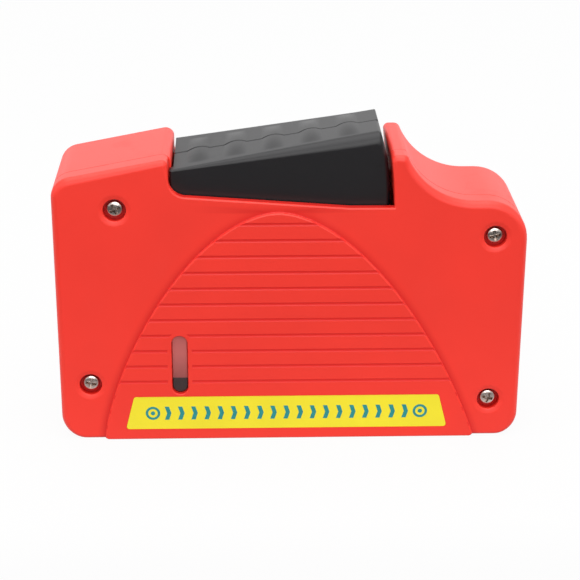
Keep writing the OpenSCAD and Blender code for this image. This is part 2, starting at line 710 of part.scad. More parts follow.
front_cover();
rear_shell();
case_screws();
window_lens();
label();
lever_front_half();
lever_rear_half();
lever_pin();
lever_spring();
drive_pawl();
pawl_pin();
ratchet_wheel();
takeup_reel();
takeup_tape();
takeup_axle();
supply_reel();
supply_tape();
supply_axle();
supply_brake();
click_spring();
cleaning_tape();
guide_pin_left();
guide_pin_right();
cleaning_pad();
pad_holder();
slot_plate();
shutter();
shutter_link();
link_pin();
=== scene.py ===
"""Fibre optic cleaning cassette: moulded case, press lever, label, screws and tape, dressed over the parts.

The file is laid out as an add-on and run as a script. Every length is in metres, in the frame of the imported
parts: X along the case, Y into its depth, Z up.
"""

import json
import math
from functools import cache

import bmesh
import bpy
import numpy as np
from bpy.props import FloatProperty, FloatVectorProperty, IntProperty, PointerProperty
from mathutils import Matrix, Vector

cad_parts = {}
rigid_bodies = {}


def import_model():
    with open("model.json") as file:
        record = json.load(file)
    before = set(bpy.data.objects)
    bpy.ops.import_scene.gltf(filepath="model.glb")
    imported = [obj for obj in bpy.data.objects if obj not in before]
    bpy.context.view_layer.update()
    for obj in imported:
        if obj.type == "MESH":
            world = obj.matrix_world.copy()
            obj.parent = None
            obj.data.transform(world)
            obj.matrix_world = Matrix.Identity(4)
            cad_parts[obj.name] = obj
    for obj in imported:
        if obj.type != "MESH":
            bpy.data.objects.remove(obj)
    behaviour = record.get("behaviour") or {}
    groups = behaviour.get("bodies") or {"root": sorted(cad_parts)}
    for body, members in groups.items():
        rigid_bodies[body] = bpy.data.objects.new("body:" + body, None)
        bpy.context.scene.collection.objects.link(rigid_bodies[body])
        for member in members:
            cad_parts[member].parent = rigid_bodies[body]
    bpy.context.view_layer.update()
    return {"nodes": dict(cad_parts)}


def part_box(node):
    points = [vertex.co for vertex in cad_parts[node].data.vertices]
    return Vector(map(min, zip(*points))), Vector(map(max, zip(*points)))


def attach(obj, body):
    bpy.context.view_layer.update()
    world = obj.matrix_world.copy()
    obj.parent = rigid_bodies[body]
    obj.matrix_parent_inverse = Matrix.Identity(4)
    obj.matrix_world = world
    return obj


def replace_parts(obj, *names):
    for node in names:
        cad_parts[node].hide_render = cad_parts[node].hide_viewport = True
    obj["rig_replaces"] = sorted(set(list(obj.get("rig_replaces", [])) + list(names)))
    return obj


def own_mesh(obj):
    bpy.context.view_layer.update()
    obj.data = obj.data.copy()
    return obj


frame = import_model()

bl_info = {
    "name": "Fibre optic cleaning cassette",
    "version": (1, 0, 0),
    "blender": (4, 5, 0),
    "location": "3D View > Sidebar > Cassette",
    "description": "Builds the case, lever, screws, label and tape of a connector cleaning cassette",
    "category": "Object",
}

NODES = frame["nodes"]
MM = 0.001


def amount(name, value, about, **kind):
    """A number property."""
    return FloatProperty(name=name, description=about, default=value, **kind)


def length(name, millimetres, about):
    """A length property whose default is given in millimetres."""
    return amount(name, millimetres * MM, about, min=0.0, precision=5, subtype="DISTANCE", unit="LENGTH")


def turn(name, degrees, about):
    """An angle property whose default is given in degrees."""
    return amount(name, math.radians(degrees), about, subtype="ANGLE", unit="ROTATION")


def share(name, value, about):
    """A plain share from 0 to 1."""
    return amount(name, value, about, min=0.0, max=1.0)


def power(name, watts, about):
    """The power of a lamp."""
    return amount(name, watts, about, min=0.0, subtype="POWER")


def whole_number(name, value, about, **limits):
    """A whole number property."""
    return IntProperty(name=name, description=about, default=value, **limits)


def colour(name, value, about):
    """A linear colour property."""
    kind = {"size": 3, "min": 0.0, "max": 1.0, "subtype": "COLOR"}
    return FloatVectorProperty(name=name, description=about, default=value, **kind)


class CaseSizes(bpy.types.PropertyGroup):
    """Sizes of the two moulded shells."""

    width: length("Width", 120, "Length of the case along X")
    depth: length("Depth", 30, "Depth from the cover face to the back")
    cover_depth: length("Cover depth", 6, "Depth of the front cover, face to seam")
    wall: length("Wall", 2.2, "Thickness of the case walls")
    edge_radius: length("Edge radius", 1.85, "Rounding of the face and back edges")
    base_edge: length("Base edge", 0.9, "Rounding of the face and back edges along the base")
    back_radius: length("Back radius", 0.9, "Rounding of the back edges")
    bay_edge: length("Bay edge", 0.45, "Rounding of the cover's edge round the lever")
    seam_chamfer: length("Seam chamfer", 0.2, "Edge break on both sides of the seam")
    base_left_radius: length("Left corner", 6.5, "Radius of the lower left corner")
    base_right_radius: length("Right corner", 6, "Radius of the lower right corner")
    shoulder_height: length("Shoulder height", 65.2, "Height of the flat right shoulder")
    shoulder_radius: length("Shoulder radius", 10.5, "Radius of the upper right corner")
    valley_radius: length("Valley radius", 18.7, "Radius of the hollow between the shoulder and the fin")
    fin_height: length("Fin height", 77.4, "Height of the fin behind the lever")
    fin_gap: length("Fin gap", 0.8, "Gap between the lever end and the fin wall")
    fin_lean: length("Fin lean", 0.72, "How far the root of the fin wall leans in towards the lever")
    tip_left_radius: length("Tip left radius", 1.4, "Radius of the fin tip beside the lever")
    tip_right_radius: length("Tip right radius", 1.6, "Radius of the fin tip over the valley")
    tip_width: length("Tip width", 1.4, "Flat between the two roundings of the fin tip")
    block_height: length("Block height", 76.9, "Height of the left block at its right wall")
    block_left_radius: length("Block left radius", 5.5, "Radius of the upper left corner")
    block_right_radius: length("Block right radius", 1.5, "Radius of the cover's block corner by the lever")
    block_rear_radius: length("Block rear radius", 2.2, "The same radius on the rear shell")
    block_slope: turn("Block slope", 11, "Slope of the block top")
    notch_radius: length("Notch radius", 4.5, "Radius at the foot of the block's right wall")
    notch_height: length("Notch height", 67.4, "Height of the cover rim at the block")
    notch_low: length("Notch low", 64.38, "Height of the cover rim at the fin")
    ledge_flat: length("Ledge flat", 11, "Length of the level part of the rim, beside the fin")
    cover_step: length("Cover step", 0.65, "How far the cover's wall by the lever stands back")
    cover_drop: length("Cover drop", 0.5, "How far the cover's rim lies below the rear shell's")


class LeverSizes(bpy.types.PropertyGroup):
    """Sizes of the press lever."""

    pivot_from_left: length("Pivot from left", 34, "Distance from the left end of the case to the pivot")
    pivot_height: length("Pivot height", 63, "Height of the pivot")
    end_inset: length("End inset", 34.2, "Distance from the right end of the case to the lever's end")
    rise: length("Rise", 11.35, "Rise of the lever top above the pivot")
    slope: turn("Slope", 9.6, "Slope of the lever top")
    gap: length("Gap", 0.6, "Running gap between the lever and the case")
    wall: length("Wall", 1.8, "Wall of the lever shells")
    end_bend: turn("End bend", 15, "Angle at which the lever's end turns straight")
    end_lean: length("End lean", 0.9, "How far the foot of the lever's end leans in")
    corner_radius: length("Corner radius", 1, "Rounding between the lever's top and end")
    rear_corner: length("Rear corner", 0.3, "The same rounding on the rear half")
    cheek_step: length("Cheek step", 0.95, "How far the front cheek reaches past the front half's left end")
    cheek_depth: length("Cheek depth", 2.4, "Thickness of that cheek")
    front_sag: length("Front sag", 0.5, "Drop of the top's front edge at the pivot end")
    rear_rise: length("Rear rise", 0.5, "Rise of the top's rear edge at the pivot end")
    rear_drop: length("Rear drop", 0.105, "How far the rear half's top is lowered at the free end")
    fillet_left: length("Left fillet", 0.5, "Rounding of the long top edges at the pivot end")
    fillet_right: length("Right fillet", 2.9, "Rounding of the long top edges at the free end")
    hump_height: length("Hump height", 0.7, "Height of the grip humps")
    hump_half_width: length("Hump half width", 2.9, "Half width of a grip hump along the lever")
    hump_side_gap: length("Hump side gap", 3, "Distance from a hump's end to the side of the lever")
    first_hump: length("First hump", 2.75, "Distance from the pivot to the first hump")
    last_hump: length("Last hump", 11.25, "Distance from the lever's end to the last hump")
    hump_count: whole_number("Humps", 5, "Number of grip humps", min=2, max=8)


class PanelSizes(bpy.types.PropertyGroup):
    """Sizes of the ribbed panel, the gauge window and the label."""

    proud: length("Panel proud", 0.8, "How far the panel stands proud of the cover")
    height: length("Panel height", 62.9, "Height of the panel")
    inset: length("Panel inset", 11.5, "Distance from each end of the case to the panel, at the base")
    lean: length("Panel lean", 3.2, "How far the panel's top leans to the left")
    edge: length("Panel edge", 0.42, "Rounding of the panel's rim")
    flare: length("Panel flare", 0.15, "Height of the hollow rounding where the panel meets the cover")
    flare_width: length("Flare width", 0.25, "Width of that hollow rounding")
    groove_pitch: length("Groove pitch", 4.33, "Spacing of the grooves")
    groove_radius: length("Groove radius", 1.3, "Radius of the round bottom of the grooves")
    groove_depth: length("Groove depth", 0.1, "Depth of the grooves")
    groove_drop: length("Groove drop", 2.93, "Distance from the panel's top to the first groove")
    groove_margin: length("Groove margin", 0.05, "Land between a groove's end and the panel's rim")
    groove_count: whole_number("Grooves", 11, "Number of grooves", min=1, max=14)
    window_from_left: length("Window from left", 31.3, "Distance from the case's left end to the gauge window")
    window_height: length("Window height", 21.3, "Height of the middle of the gauge window")
    window_width: length("Window width", 4.1, "Width of the gauge window")
    window_length: length("Window length", 16.5, "Length of the gauge window")
    window_margin: length("Window margin", 1.1, "Land between the grooves and the gauge window")
    lens_sink: length("Lens sink", 1.3, "Depth of the lens below the panel face")
    label_low: length("Label foot", 3, "Height of the label's lower edge")
    label_height: length("Label height", 9.35, "Height of the label")
    label_low_inset: length("Label low inset", 6.5, "Panel half width less the label's lower half width")
    label_top_inset: length("Label top inset", 8.5, "Panel half width less the label's upper half width")
    label_shift: length("Label shift", 1, "How far the label's middle lies to the left")
    label_radius: length("Label radius", 0.7, "Radius of the label's corners")
    label_recess: length("Label recess", 0.15, "Depth of the label's recess")


class MarkSizes(bpy.types.PropertyGroup):
    """Sizes of the plain wiping-direction marks on the label."""

    height: length("Mark height", 3.8, "Height of the marks")
    stroke: length("Mark stroke", 0.95, "Width of the printed strokes")
    pitch: length("Mark pitch", 3.45, "Spacing of the chevrons")
    count: whole_number("Chevrons", 19, "Number of chevrons between the end rings", min=1)


class ScrewSizes(bpy.types.PropertyGroup):
    """Sizes of the case screws and their holes."""

    head: length("Head diameter", 4.2, "Outer diameter of the screw heads")
    hole: length("Hole diameter", 5.8, "Diameter of the screw holes")
    dish: length("Dish diameter", 8.5, "Diameter of the shallow dish round each hole")
    dish_depth: length("Dish depth", 0.32, "Depth of that dish at the hole")
    sink: length("Sink", 1.0, "Depth of the head's top below the cover face")
    head_height: length("Head height", 1.5, "Height of the pan head")
    shank: length("Shank diameter", 2.2, "Diameter of the shank")
    screw_length: length("Screw length", 14, "Length of the shank")
    seed: whole_number("Turn seed", 4, "Seed of the turn of each cross recess")


class Colours(bpy.types.PropertyGroup):
    """Linear base colours of the finishes."""

    case_red: colour("Case red", (0.885, 0.035, 0.02), "Moulded red plastic")
    lever_black: colour("Lever black", (0.005, 0.0044, 0.0058), "Black lever plastic")
    label_yellow: colour("Label yellow", (0.9, 0.77, 0.022), "Label film")
    mark_teal: colour("Mark teal", (0.012, 0.26, 0.26), "Printed marks")
    lens_clear: colour("Lens", (0.5, 0.13, 0.122), "Clear lens over the tape")
    # Painted shade: this dark lens foot stands for the dark inside behind the lens.
    lens_foot_shade: colour("Lens foot", (0.043, 0.027, 0.028), "Smoked foot of the lens")
    steel: colour("Steel", (0.62, 0.61, 0.6), "Pins and leaf springs")
    nickel: colour("Nickel", (0.7, 0.61, 0.56), "Screw plating")
    ivory: colour("Ivory", (0.8, 0.76, 0.64), "Natural acetal")
    white: colour("White", (0.83, 0.83, 0.82), "White moulded plastic")
    black: colour("Black", (0.03, 0.03, 0.032), "Black moulded plastic")
    cloth: colour("Cloth", (0.87, 0.86, 0.83), "Woven cleaning tape")
    rubber: colour("Rubber", (0.1, 0.1, 0.105), "Rubber pad")
    floor: colour("Floor", (0.3, 0.3, 0.3), "Studio floor")


class StageSettings(bpy.types.PropertyGroup):
    """The camera and lamps."""

    elevation: turn("Elevation", 22.397, "Camera angle above the horizon")
    yaw: turn("Yaw", -1.809, "Camera turn about the upright axis")
    roll: turn("Roll", 0.24, "Camera turn about its own axis")
    distance: length("Distance", 425.9, "Distance from the aim point to the camera")
    aim_x: amount("Aim X", -0.25 * MM, "X of the aim point", unit="LENGTH")
    aim_z: length("Aim height", 41.92, "Height of the aim point on the cover face")
    focal_pixels: amount("Focal length", 1670.3, "Focal length in pixels")
    picture: whole_number("Picture", 580, "Width and height of the picture in pixels")
    dark_from: amount("Dark floor", -0.11, "Y where the dark floor in front ends")
    dark_share: share("Dark share", 0.3, "Colour of the floor in front, as a share of the pale floor")
    mirror_from: amount("Mirror floor", -0.035, "Y past which mirror rays see white")
    glow_share: share("Glow share", 0.88, "How much of the seen floor is plain white")
    glow_strength: amount("Glow strength", 1.07, "Strength of that white")
    world_strength: amount("World", 0.72, "Strength of the soft surrounding light")
    top_power: power("Top lamp", 4.2, "Power of the overhead lamp")
    front_power: power("Front lamp", 4.7, "Power of the front lamp")
    back_power: power("Back lamp", 7.5, "Power of the lamp behind")
    side_power: power("Side lamps", 0.9, "Power of each side lamp")


class Cassette(bpy.types.PropertyGroup):
    """All the settings of the cassette."""

    case: PointerProperty(type=CaseSizes)
    lever: PointerProperty(type=LeverSizes)
    panel: PointerProperty(type=PanelSizes)
    marks: PointerProperty(type=MarkSizes)
    screws: PointerProperty(type=ScrewSizes)
    colours: PointerProperty(type=Colours)
    stage: PointerProperty(type=StageSettings)


def settings():
    """The cassette's settings on the scene."""
    return bpy.context.scene.cassette


# Fixed sizes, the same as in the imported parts. A name that ends in BORE is a radius.
BITE, CLEARANCE = 0.2 * MM, 0.05 * MM  # how far posts reach into a wall, and stay off the seam
END_PLAY, AXLE_PLAY, SIDE_GAP, TAPE_GAP = 0.1 * MM, 0.2 * MM, 0.4 * MM, 0.6 * MM
LINK_THICK, FLANGE_THICK = 1.3 * MM, 1.2 * MM
SCREW_POST, AXLE_POST, PIVOT_POST = 3.6 * MM, 3.2 * MM, 3 * MM
AXLE_BORE, PIVOT_BORE, LINK_BORE, PILOT_BORE, PAWL_BORE = 2.06 * MM, 1.56 * MM, 1.26 * MM, 1.16 * MM, 1 * MM
LINK_PEG, LINK_TURN, LINK_REACH = 1.1 * MM, 14.2, 12.7 * MM  # the lever's peg that drives the shutter link
BRAKE_TURN, BRAKE_REACH = 205, 21.8 * MM
BAY_FLOOR, BAY_TOP, BAY_SHORT = 59.8 * MM, 90 * MM, 2.4 * MM
BASE_WINDOW, PLATE_THICK = (13 * MM, 7.5 * MM), 1.8 * MM
RAIL, RAIL_NEAR, RAIL_FAR, RAIL_LIP = 8.3 * MM, 14.5 * MM, 18 * MM, 0.6 * MM
SHELF, CLAMP_AT, CLAMP = -1.5 * MM, (13 * MM, 8 * MM), 4 * MM
SUPPLY_PACK, TAKEUP_PACK, REEL_HUB = 17 * MM, 11 * MM, 5 * MM
ARCH, EAR_WIDTH, EAR_LOW = 63.5 * MM, 8 * MM, 51 * MM  # lower edge of the lever's walls, and its inner ears
HUB, HUB_REACH = 2.8 * MM, 3.4 * MM
LEFT_EDGE, END_EDGE, LOW_EDGE = 0.5 * MM, 1.2 * MM, 0.35 * MM  # roundings of the lever's other outer edges
FOOT_TURN = 4  # how far below level the lever's end runs, in degrees
SEAM_HALF, SEAM_CREASE = 0.21 * MM, 0.3 * MM  # half of the gap between the lever halves, and its broken edges
BOW, FULLNESS, SWAY = 1.25, 0.56, 0.6  # the panel's outline: taper with height, roundness, lean
PANEL_CORNER = 0.9 * MM
BLOCK_TO_PIVOT = 4 * MM
SUPPLY_HEIGHT, TAKEUP_HEIGHT, TAKEUP_INSET, LINK_HEIGHT = 34 * MM, 32 * MM, 31 * MM, 50 * MM
PAWL_HEIGHT, PAWL_INSET = 56 * MM, 44 * MM
LEFT_SCREWS = ((15.8 * MM, 63.6 * MM), (8 * MM, 15.6 * MM))  # distance from the left end, height
RIGHT_SCREWS = ((8.3 * MM, 55.9 * MM), (8 * MM, 10.4 * MM))  # distance from the right end, height
SHELF_HALF, SHELF_DEEP, SHELF_LOW, SHELF_TOP = 5.5 * MM, 5 * MM, 56 * MM, 58 * MM
STAND_HALF, STAND_TALL = 2 * MM, 4 * MM  # the stand of the supply brake
FRONT_EAR, REAR_EAR = 0.44 * EAR_WIDTH, 3.3 * MM  # from an ear's left side to its pin or peg
FAR_OUT = 20 * MM  # past the case on either side, from its middle
HEAD_RIM, THREAD_PITCH, THREAD_START, THREAD_CREST, THREAD_TURNS = 0.95 * MM, 0.9 * MM, 0.6 * MM, 0.28 * MM, 14
CROSS_HALF, CROSS_REACH, CONE_RADIUS = 0.38 * MM, 1.42 * MM, 0.78 * MM
GUIDE_PIN, GUIDE_AT, GUIDE_GAP = 1.6 * MM, 16.5 * MM, 0.1 * MM
TAPE_THICK, TAPE_SKIN, WINDING = 0.25 * MM, 0.03 * MM, 0.5 * MM
SPRING_WIRE, SPRING_TURNS = 0.4 * MM, 7.0
LENS_FIT, LENS_LIP, LENS_LIP_THICK, LENS_EDGE = 0.08 * MM, 0.7 * MM, 0.69 * MM, 0.1 * MM
LABEL_FIT, FILM_SUNK, FILM_EDGE = 0.08 * MM, 0.03 * MM, 0.03 * MM
WINDOW_LIP = 0.28 * MM
SPREAD, SPREAD_BY_BAY = 0.16, 0.4  # how fast an edge rounding may change along an outline


def arc(x, z, radius, start, end, steps=12):
    """Points along an arc, angles in degrees."""
    t = np.radians(np.linspace(start, end, steps + 1))
    return [(x + radius * math.cos(a), z + radius * math.sin(a)) for a in t]


def point_at(x, z, radius, degrees):
    """The point at a distance and an angle from x, z."""
    return arc(x, z, radius, degrees, degrees, 1)[0]


def circle(x, z, radius, steps=48):
    """Points round a circle, anticlockwise."""
    return arc(x, z, radius, 0, 360, steps)[:-1]


class Places:
    """Places worked out from the settings, as the CAD source works them out."""

    def __init__(self):
        s = settings()
        c, v, p = s.case, s.lever, s.panel
        self.mid = p.proud / 2
        self.face = self.mid - c.depth / 2
        self.back = self.mid + c.depth / 2
        self.seam = self.face + c.cover_depth
        self.front_in = self.face + c.wall
        self.back_in = self.back - c.wall
        self.panel_face = self.face - p.proud
        self.left, self.right = -c.width / 2, c.width / 2
        self.pivot = (self.left + v.pivot_from_left, v.pivot_height)
        self.reach = c.width - v.pivot_from_left - v.end_inset
        self.bay_end = self.pivot[0] + self.reach - BAY_SHORT
        self.block = self.pivot[0] - BLOCK_TO_PIVOT
        self.lever_out = c.depth / 2 - c.wall - v.gap
        self.lever_in = self.lever_out - v.wall
        self.lever_left = self.block + v.gap
        self.window = (self.left + p.window_from_left, p.window_height)
        self.link_out = self.lever_in - SIDE_GAP
        self.link_in = self.link_out - LINK_THICK
        self.flange_out = self.link_in - SIDE_GAP
        self.flange_in = self.flange_out - FLANGE_THICK
        self.tape = self.flange_in - TAPE_GAP
        self.supply = (self.window[0], SUPPLY_HEIGHT)
        self.takeup = (self.right - TAKEUP_INSET, TAKEUP_HEIGHT)
        self.link = (0.0, LINK_HEIGHT)
        self.pawl = (self.right - PAWL_INSET, PAWL_HEIGHT)
        self.screws = [(self.left + x, z) for x, z in LEFT_SCREWS]
        self.screws += [(self.right - x, z) for x, z in RIGHT_SCREWS]


def block_top(x):
    """Height of the sloping top of the left block."""
    c, at = settings().case, Places()
    return c.block_height + (x - at.block) * math.tan(c.block_slope)


def lever_top(x):
    """Height of the lever's top line."""
    v, at = settings().lever, Places()
    return at.pivot[1] + v.rise + (x - at.pivot[0]) * math.tan(v.slope)


def lower_outline(d=0.0):
    """Lower corners and right shoulder of the case, drawn in by d."""
    c, at = settings().case, Places()
    a, b, r = c.base_left_radius, c.base_right_radius, c.shoulder_radius
    return (
        arc(at.left + a, a, a - d, 180, 270)
        + arc(at.right - b, b, b - d, 270, 360)
        + arc(at.right - r, c.shoulder_height - r, r - d, 0, 90)
    )


def block_outline(d=0.0, step=0.0, corner=0.0):
    """The left block with its sloping top, drawn in by d. Its right wall stands back by step."""
    c, at = settings().case, Places()
    slope = math.degrees(c.block_slope)
    r, q = corner or c.block_right_radius, c.block_left_radius
    x, y = at.block - step - r, at.left + q
    lift = 1 / math.cos(c.block_slope)
    return arc(x, block_top(x) - r * lift, max(r - d, 0), 0, 90 + slope, 8) + arc(
        y, block_top(y) - q * lift, q - d, 90 + slope, 180
    )


def lean_in(points, reach):
    """A line of points leaned to the left, by nothing at its first point and by reach at its last,
    most of it over the first half of the line."""
    last = len(points) - 1
    return [(x - reach * (1 - (1 - i / last) ** 2), z) for i, (x, z) in enumerate(points)]


def fin_points():
    """Centres and angles of the fin's arcs."""
    c, at = settings().case, Places()
    wall_r = at.reach + c.fin_gap
    px, pz = at.pivot
    a, b, v = c.tip_left_radius, c.tip_right_radius, c.valley_radius
    tip_x = px + math.sqrt((wall_r + a) ** 2 - (c.fin_height - a - pz) ** 2)
    right_x, right_z = tip_x + c.tip_width, c.fin_height - b
    valley_z = c.shoulder_height + v
    valley_x = right_x + math.sqrt((v + b) ** 2 - (valley_z - right_z) ** 2)
    tip_angle = math.degrees(math.atan2(valley_z - right_z, valley_x - right_x))
    left_angle = math.degrees(math.atan2(c.fin_height - a - pz, tip_x - px))
    return wall_r, tip_x, (right_x, right_z), (valley_x, valley_z), tip_angle, left_angle


def case_outline(step=0.0, sink=0.0, corner=0.0):
    """Side outline of the whole case, anticlockwise.
    The block wall stands back by step, and the rim lies lower by sink."""
    c, at = settings().case, Places()
    wall_r, tip_x, tip, valley, tip_angle, left_angle = fin_points()
    low_angle = math.degrees(math.asin((c.notch_low - sink - at.pivot[1]) / wall_r))
    wall = lean_in(arc(*at.pivot, wall_r, left_angle, low_angle, 18), c.fin_lean)
    notch = (at.block - step + c.notch_radius, c.notch_height - sink + c.notch_radius)
    return (
        lower_outline()
        + arc(*valley, c.valley_radius, 270, 180 + tip_angle, 26)[:-1]
        + arc(*tip, c.tip_right_radius, tip_angle, 90, 8)
        + arc(tip_x, c.fin_height - c.tip_left_radius, c.tip_left_radius, 90, 180 + left_angle, 8)[:-1]
        + wall
        + [(wall[-1][0] - c.ledge_flat, wall[-1][1])]
        + arc(*notch, c.notch_radius, 266, 180)
        + block_outline(step=step, corner=corner)
    )


def room_outline():
    """Side outline of the space inside the case, anticlockwise."""
    c, at = settings().case, Places()
    wall_r, _, _, valley, _, _ = fin_points()
    high = c.notch_low + c.wall
    return (
        lower_outline(c.wall)
        + arc(*valley, c.valley_radius + c.wall, 270, 236)
        + [(at.pivot[0] + wall_r + c.wall, high), (at.block - c.wall, high)]
        + block_outline(c.wall)
    )


def panel_half(z):
    """Half width of the ribbed panel at height z."""
    p, c = settings().panel, settings().case
    return (c.width / 2 - p.inset) * (1 - (z / p.height) ** BOW) ** FULLNESS


def panel_middle(z):
    """Middle of the ribbed panel at height z."""
    p = settings().panel
    return -p.lean * (z / p.height) ** SWAY


def panel_outline(levels=84):
    """Outline of the ribbed panel, anticlockwise, with its lower corners rounded."""
    p, corner = settings().panel, PANEL_CORNER
    x0, x1 = panel_middle(corner) - panel_half(corner), panel_middle(corner) + panel_half(corner)
    heights = [max(p.height * (1 - (1 - i / levels) ** 2), 0.0) for i in range(levels + 1)]
    heights = [z for z in heights if z > corner]
    right = [(panel_middle(z) + panel_half(z), z) for z in heights]
    left = [(panel_middle(z) - panel_half(z), z) for z in reversed(heights[:-1])]
    foot = arc(x0 + corner, corner, corner, 180, 270, 6) + arc(x1 - corner, corner, corner, 270, 360, 6)
    return foot + right + left


def slot_outline(at, width, tall):
    """An upright shape with round ends, anticlockwise."""
    r = width / 2
    return arc(at[0], at[1] - tall / 2 + r, r, 180, 360, 20) + arc(at[0], at[1] + tall / 2 - r, r, 0, 180, 20)


def label_outline(grow=0.0):
    """Outline of the label, anticlockwise."""
    p = settings().panel
    x, half = -p.label_shift, panel_half(0.0)
    low, top = half - p.label_low_inset + grow, half - p.label_top_inset + grow
    foot, head, r = p.label_low - grow, p.label_low + p.label_height + grow, p.label_radius
    lean = math.degrees(math.atan2(low - top, head - foot))
    return (
        arc(x - low + r, foot + r, r, 180 - lean, 270, 6)
        + arc(x + low - r, foot + r, r, 270, 360 + lean, 6)
        + arc(x + top - r, head - r, r, lean, 90, 6)
        + arc(x - top + r, head - r, r, 90, 180 - lean, 6)
    )


def lever_corner(r, rise, reach):
    """Centre of a corner of radius r between the lever's top and its end."""
    v, at = settings().lever, Places()
    bend, lean = v.end_bend, v.end_bend - v.slope
    run = reach - r
    up = (rise * math.cos(v.slope) - r - run * math.sin(lean)) / math.cos(lean)
    return (
        at.pivot[0] + run * math.cos(bend) - up * math.sin(bend),
        at.pivot[1] + run * math.sin(bend) + up * math.cos(bend),
    )


def lever_end(r, rise, reach, foot, bends=10):
    """The lever's top corner and its end down to the angle of its foot, clockwise."""
    v, at = settings().lever, Places()
    bend = math.degrees(v.end_bend)
    corner = arc(*lever_corner(r or v.corner_radius, rise, reach), r, 90 + math.degrees(v.slope), bend, bends)
    return corner + lean_in(arc(*at.pivot, reach, bend, foot, 16), v.end_lean)


def lever_ring(ear, depth, corner, cheek=0.0, sag=0.0, drop=0.0):
    """Side outline of a lever half with its ear, anticlockwise, at a depth below its outer face.
    Near the face the outline draws in to round the edges, most of all along the top of the free end.
    cheek moves its left end out, sag lowers its top at the pivot end, and drop at the free end."""
    v, at = settings().lever, Places()

    def fall(radius):
        return radius - math.sqrt(radius**2 - (radius - depth) ** 2) if depth < radius else 0.0

    x0 = at.lever_left - cheek + fall(LEFT_EDGE)
    spread = at.reach - 5 * MM
    end = lever_end(corner, v.rise - drop - fall(v.fillet_right), at.reach - fall(END_EDGE), -FOOT_TURN)
    top, steps = [], 210
    for i in range(steps):
        x = x0 + (end[0][0] - x0) * i / steps
        grown = min(max(x - at.lever_left, 0.0) / spread, 1.0)
        rounding = fall(v.fillet_left + (v.fillet_right - v.fillet_left) * grown)
        top.append((x, lever_top(x) - rounding - sag * (1 - grown) - drop * grown))
    edge = fall(LOW_EDGE)
    hub = at.pivot[0] + HUB_REACH - edge
    foot = at.pivot[1] - at.reach * math.sin(math.radians(FOOT_TURN)) + edge
    left, right, low = ear + edge, ear + EAR_WIDTH - edge, EAR_LOW + edge
    end[-1] = (end[-1][0], foot)
    arch = ARCH + edge
    rest = [(right, foot), (right, low), (left, low), (left, arch), (hub, arch), (hub, at.pivot[1])]
    round_foot = arc(*at.pivot, HUB - edge, 0, -180, 20)
    return (top + end + rest + round_foot + [(x0, at.pivot[1])])[::-1]


def lever_hollow():
    """Side outline of the space between the lever's walls, open below the arch."""
    v, at = settings().lever, Places()
    foot = math.degrees(math.asin((ARCH - at.pivot[1]) / (at.reach - v.wall)))
    low, x0 = 40 * MM, at.lever_left + v.wall
    drop = v.wall / math.cos(v.slope)
    corner = lever_corner(0, v.rise - v.wall, at.reach - v.wall)
    sill = [(at.right, ARCH), (at.right, low), (at.left, low), (at.left, ARCH), (x0, ARCH)]
    return [(x0, lever_top(x0) - drop), corner] + lever_end(0, v.rise, at.reach - v.wall, foot, 0)[1:] + sill


def place_object(name, data):
    """A new object with its data, linked to the scene."""
    piece = bpy.data.objects.new(name, data)
    bpy.context.scene.collection.objects.link(piece)
    return piece


def mesh_object(name, points, faces):
    """A mesh object at the origin from points and faces, with its faces turned outwards."""
    mesh = bpy.data.meshes.new(name)
    mesh.from_pydata([tuple(map(float, p)) for p in points], [], [tuple(f) for f in faces])
    work = bmesh.new()
    work.from_mesh(mesh)
    bmesh.ops.remove_doubles(work, verts=work.verts, dist=2e-7)
    bmesh.ops.dissolve_degenerate(work, edges=work.edges, dist=1e-7)
    bmesh.ops.recalc_face_normals(work, faces=work.faces)
    work.to_mesh(mesh)
    work.free()
    return place_object(name, mesh)


def mitres(outline):
    """Outward mitre vector at each point of an anticlockwise outline."""
    p = np.array(outline, float)
    before, after = p - np.roll(p, 1, 0), np.roll(p, -1, 0) - p
    a = np.stack([before[:, 1], -before[:, 0]], 1) / np.linalg.norm(before, axis=1)[:, None]
    b = np.stack([after[:, 1], -after[:, 0]], 1) / np.linalg.norm(after, axis=1)[:, None]
    return (a + b) / np.maximum(1 + (a * b).sum(1), 0.3)[:, None]


def inward_reach(outline, mitre, limit):
    """How far each point of an outline can move in before it meets the middle of the shape."""
    p = np.array(outline, float)
    q = np.roll(p, -1, 0)
    side = q - p
    squared = (side**2).sum(1)
    low, high = np.zeros(len(p)), np.full(len(p), float(limit))
    for _ in range(16):
        test = (low + high) / 2
        moved = p - test[:, None] * mitre
        along = np.clip(((moved[:, None] - p[None]) * side[None]).sum(2) / squared[None], 0, 1)
        near = np.linalg.norm(moved[:, None] - (p[None] + along[..., None] * side[None]), axis=2).min(1)
        good = near >= test * 0.995 - 1e-8
        low, high = np.where(good, test, low), np.where(good, high, test)
    return low


def clean_outline(outline):
    """An anticlockwise outline with no doubled points."""
    kept = []
    for x, z in outline:
        if not kept or math.hypot(x - kept[-1][0], z - kept[-1][1]) > 1e-6:
            kept.append((x, z))
    if math.hypot(kept[0][0] - kept[-1][0], kept[0][1] - kept[-1][1]) < 1e-6:
        kept.pop()
    area = sum(a[0] * b[1] - b[0] * a[1] for a, b in zip(kept, kept[1:] + kept[:1]))
    return kept if area > 0 else kept[::-1]


def loft(name, rings, shift=None):
    """A closed solid through rings of equally many points, each ring (outline, y).
    shift, a function of x, y, z, moves the finished points."""
    n, last = len(rings[0][0]), len(rings) - 1
    points = [(x, h, z) for ring, y in rings for (x, z), h in zip(ring, np.broadcast_to(y, n))]
    if shift:
        points = [shift(*q) for q in points]
    faces = []
    for a in range(0, last * n, n):
        faces += [(a + i, a + (i + 1) % n, a + n + (i + 1) % n, a + n + i) for i in range(n)]
    faces += [tuple(range(n)), tuple(range(last * n, last * n + n))]
    return mesh_object(name, points, faces)


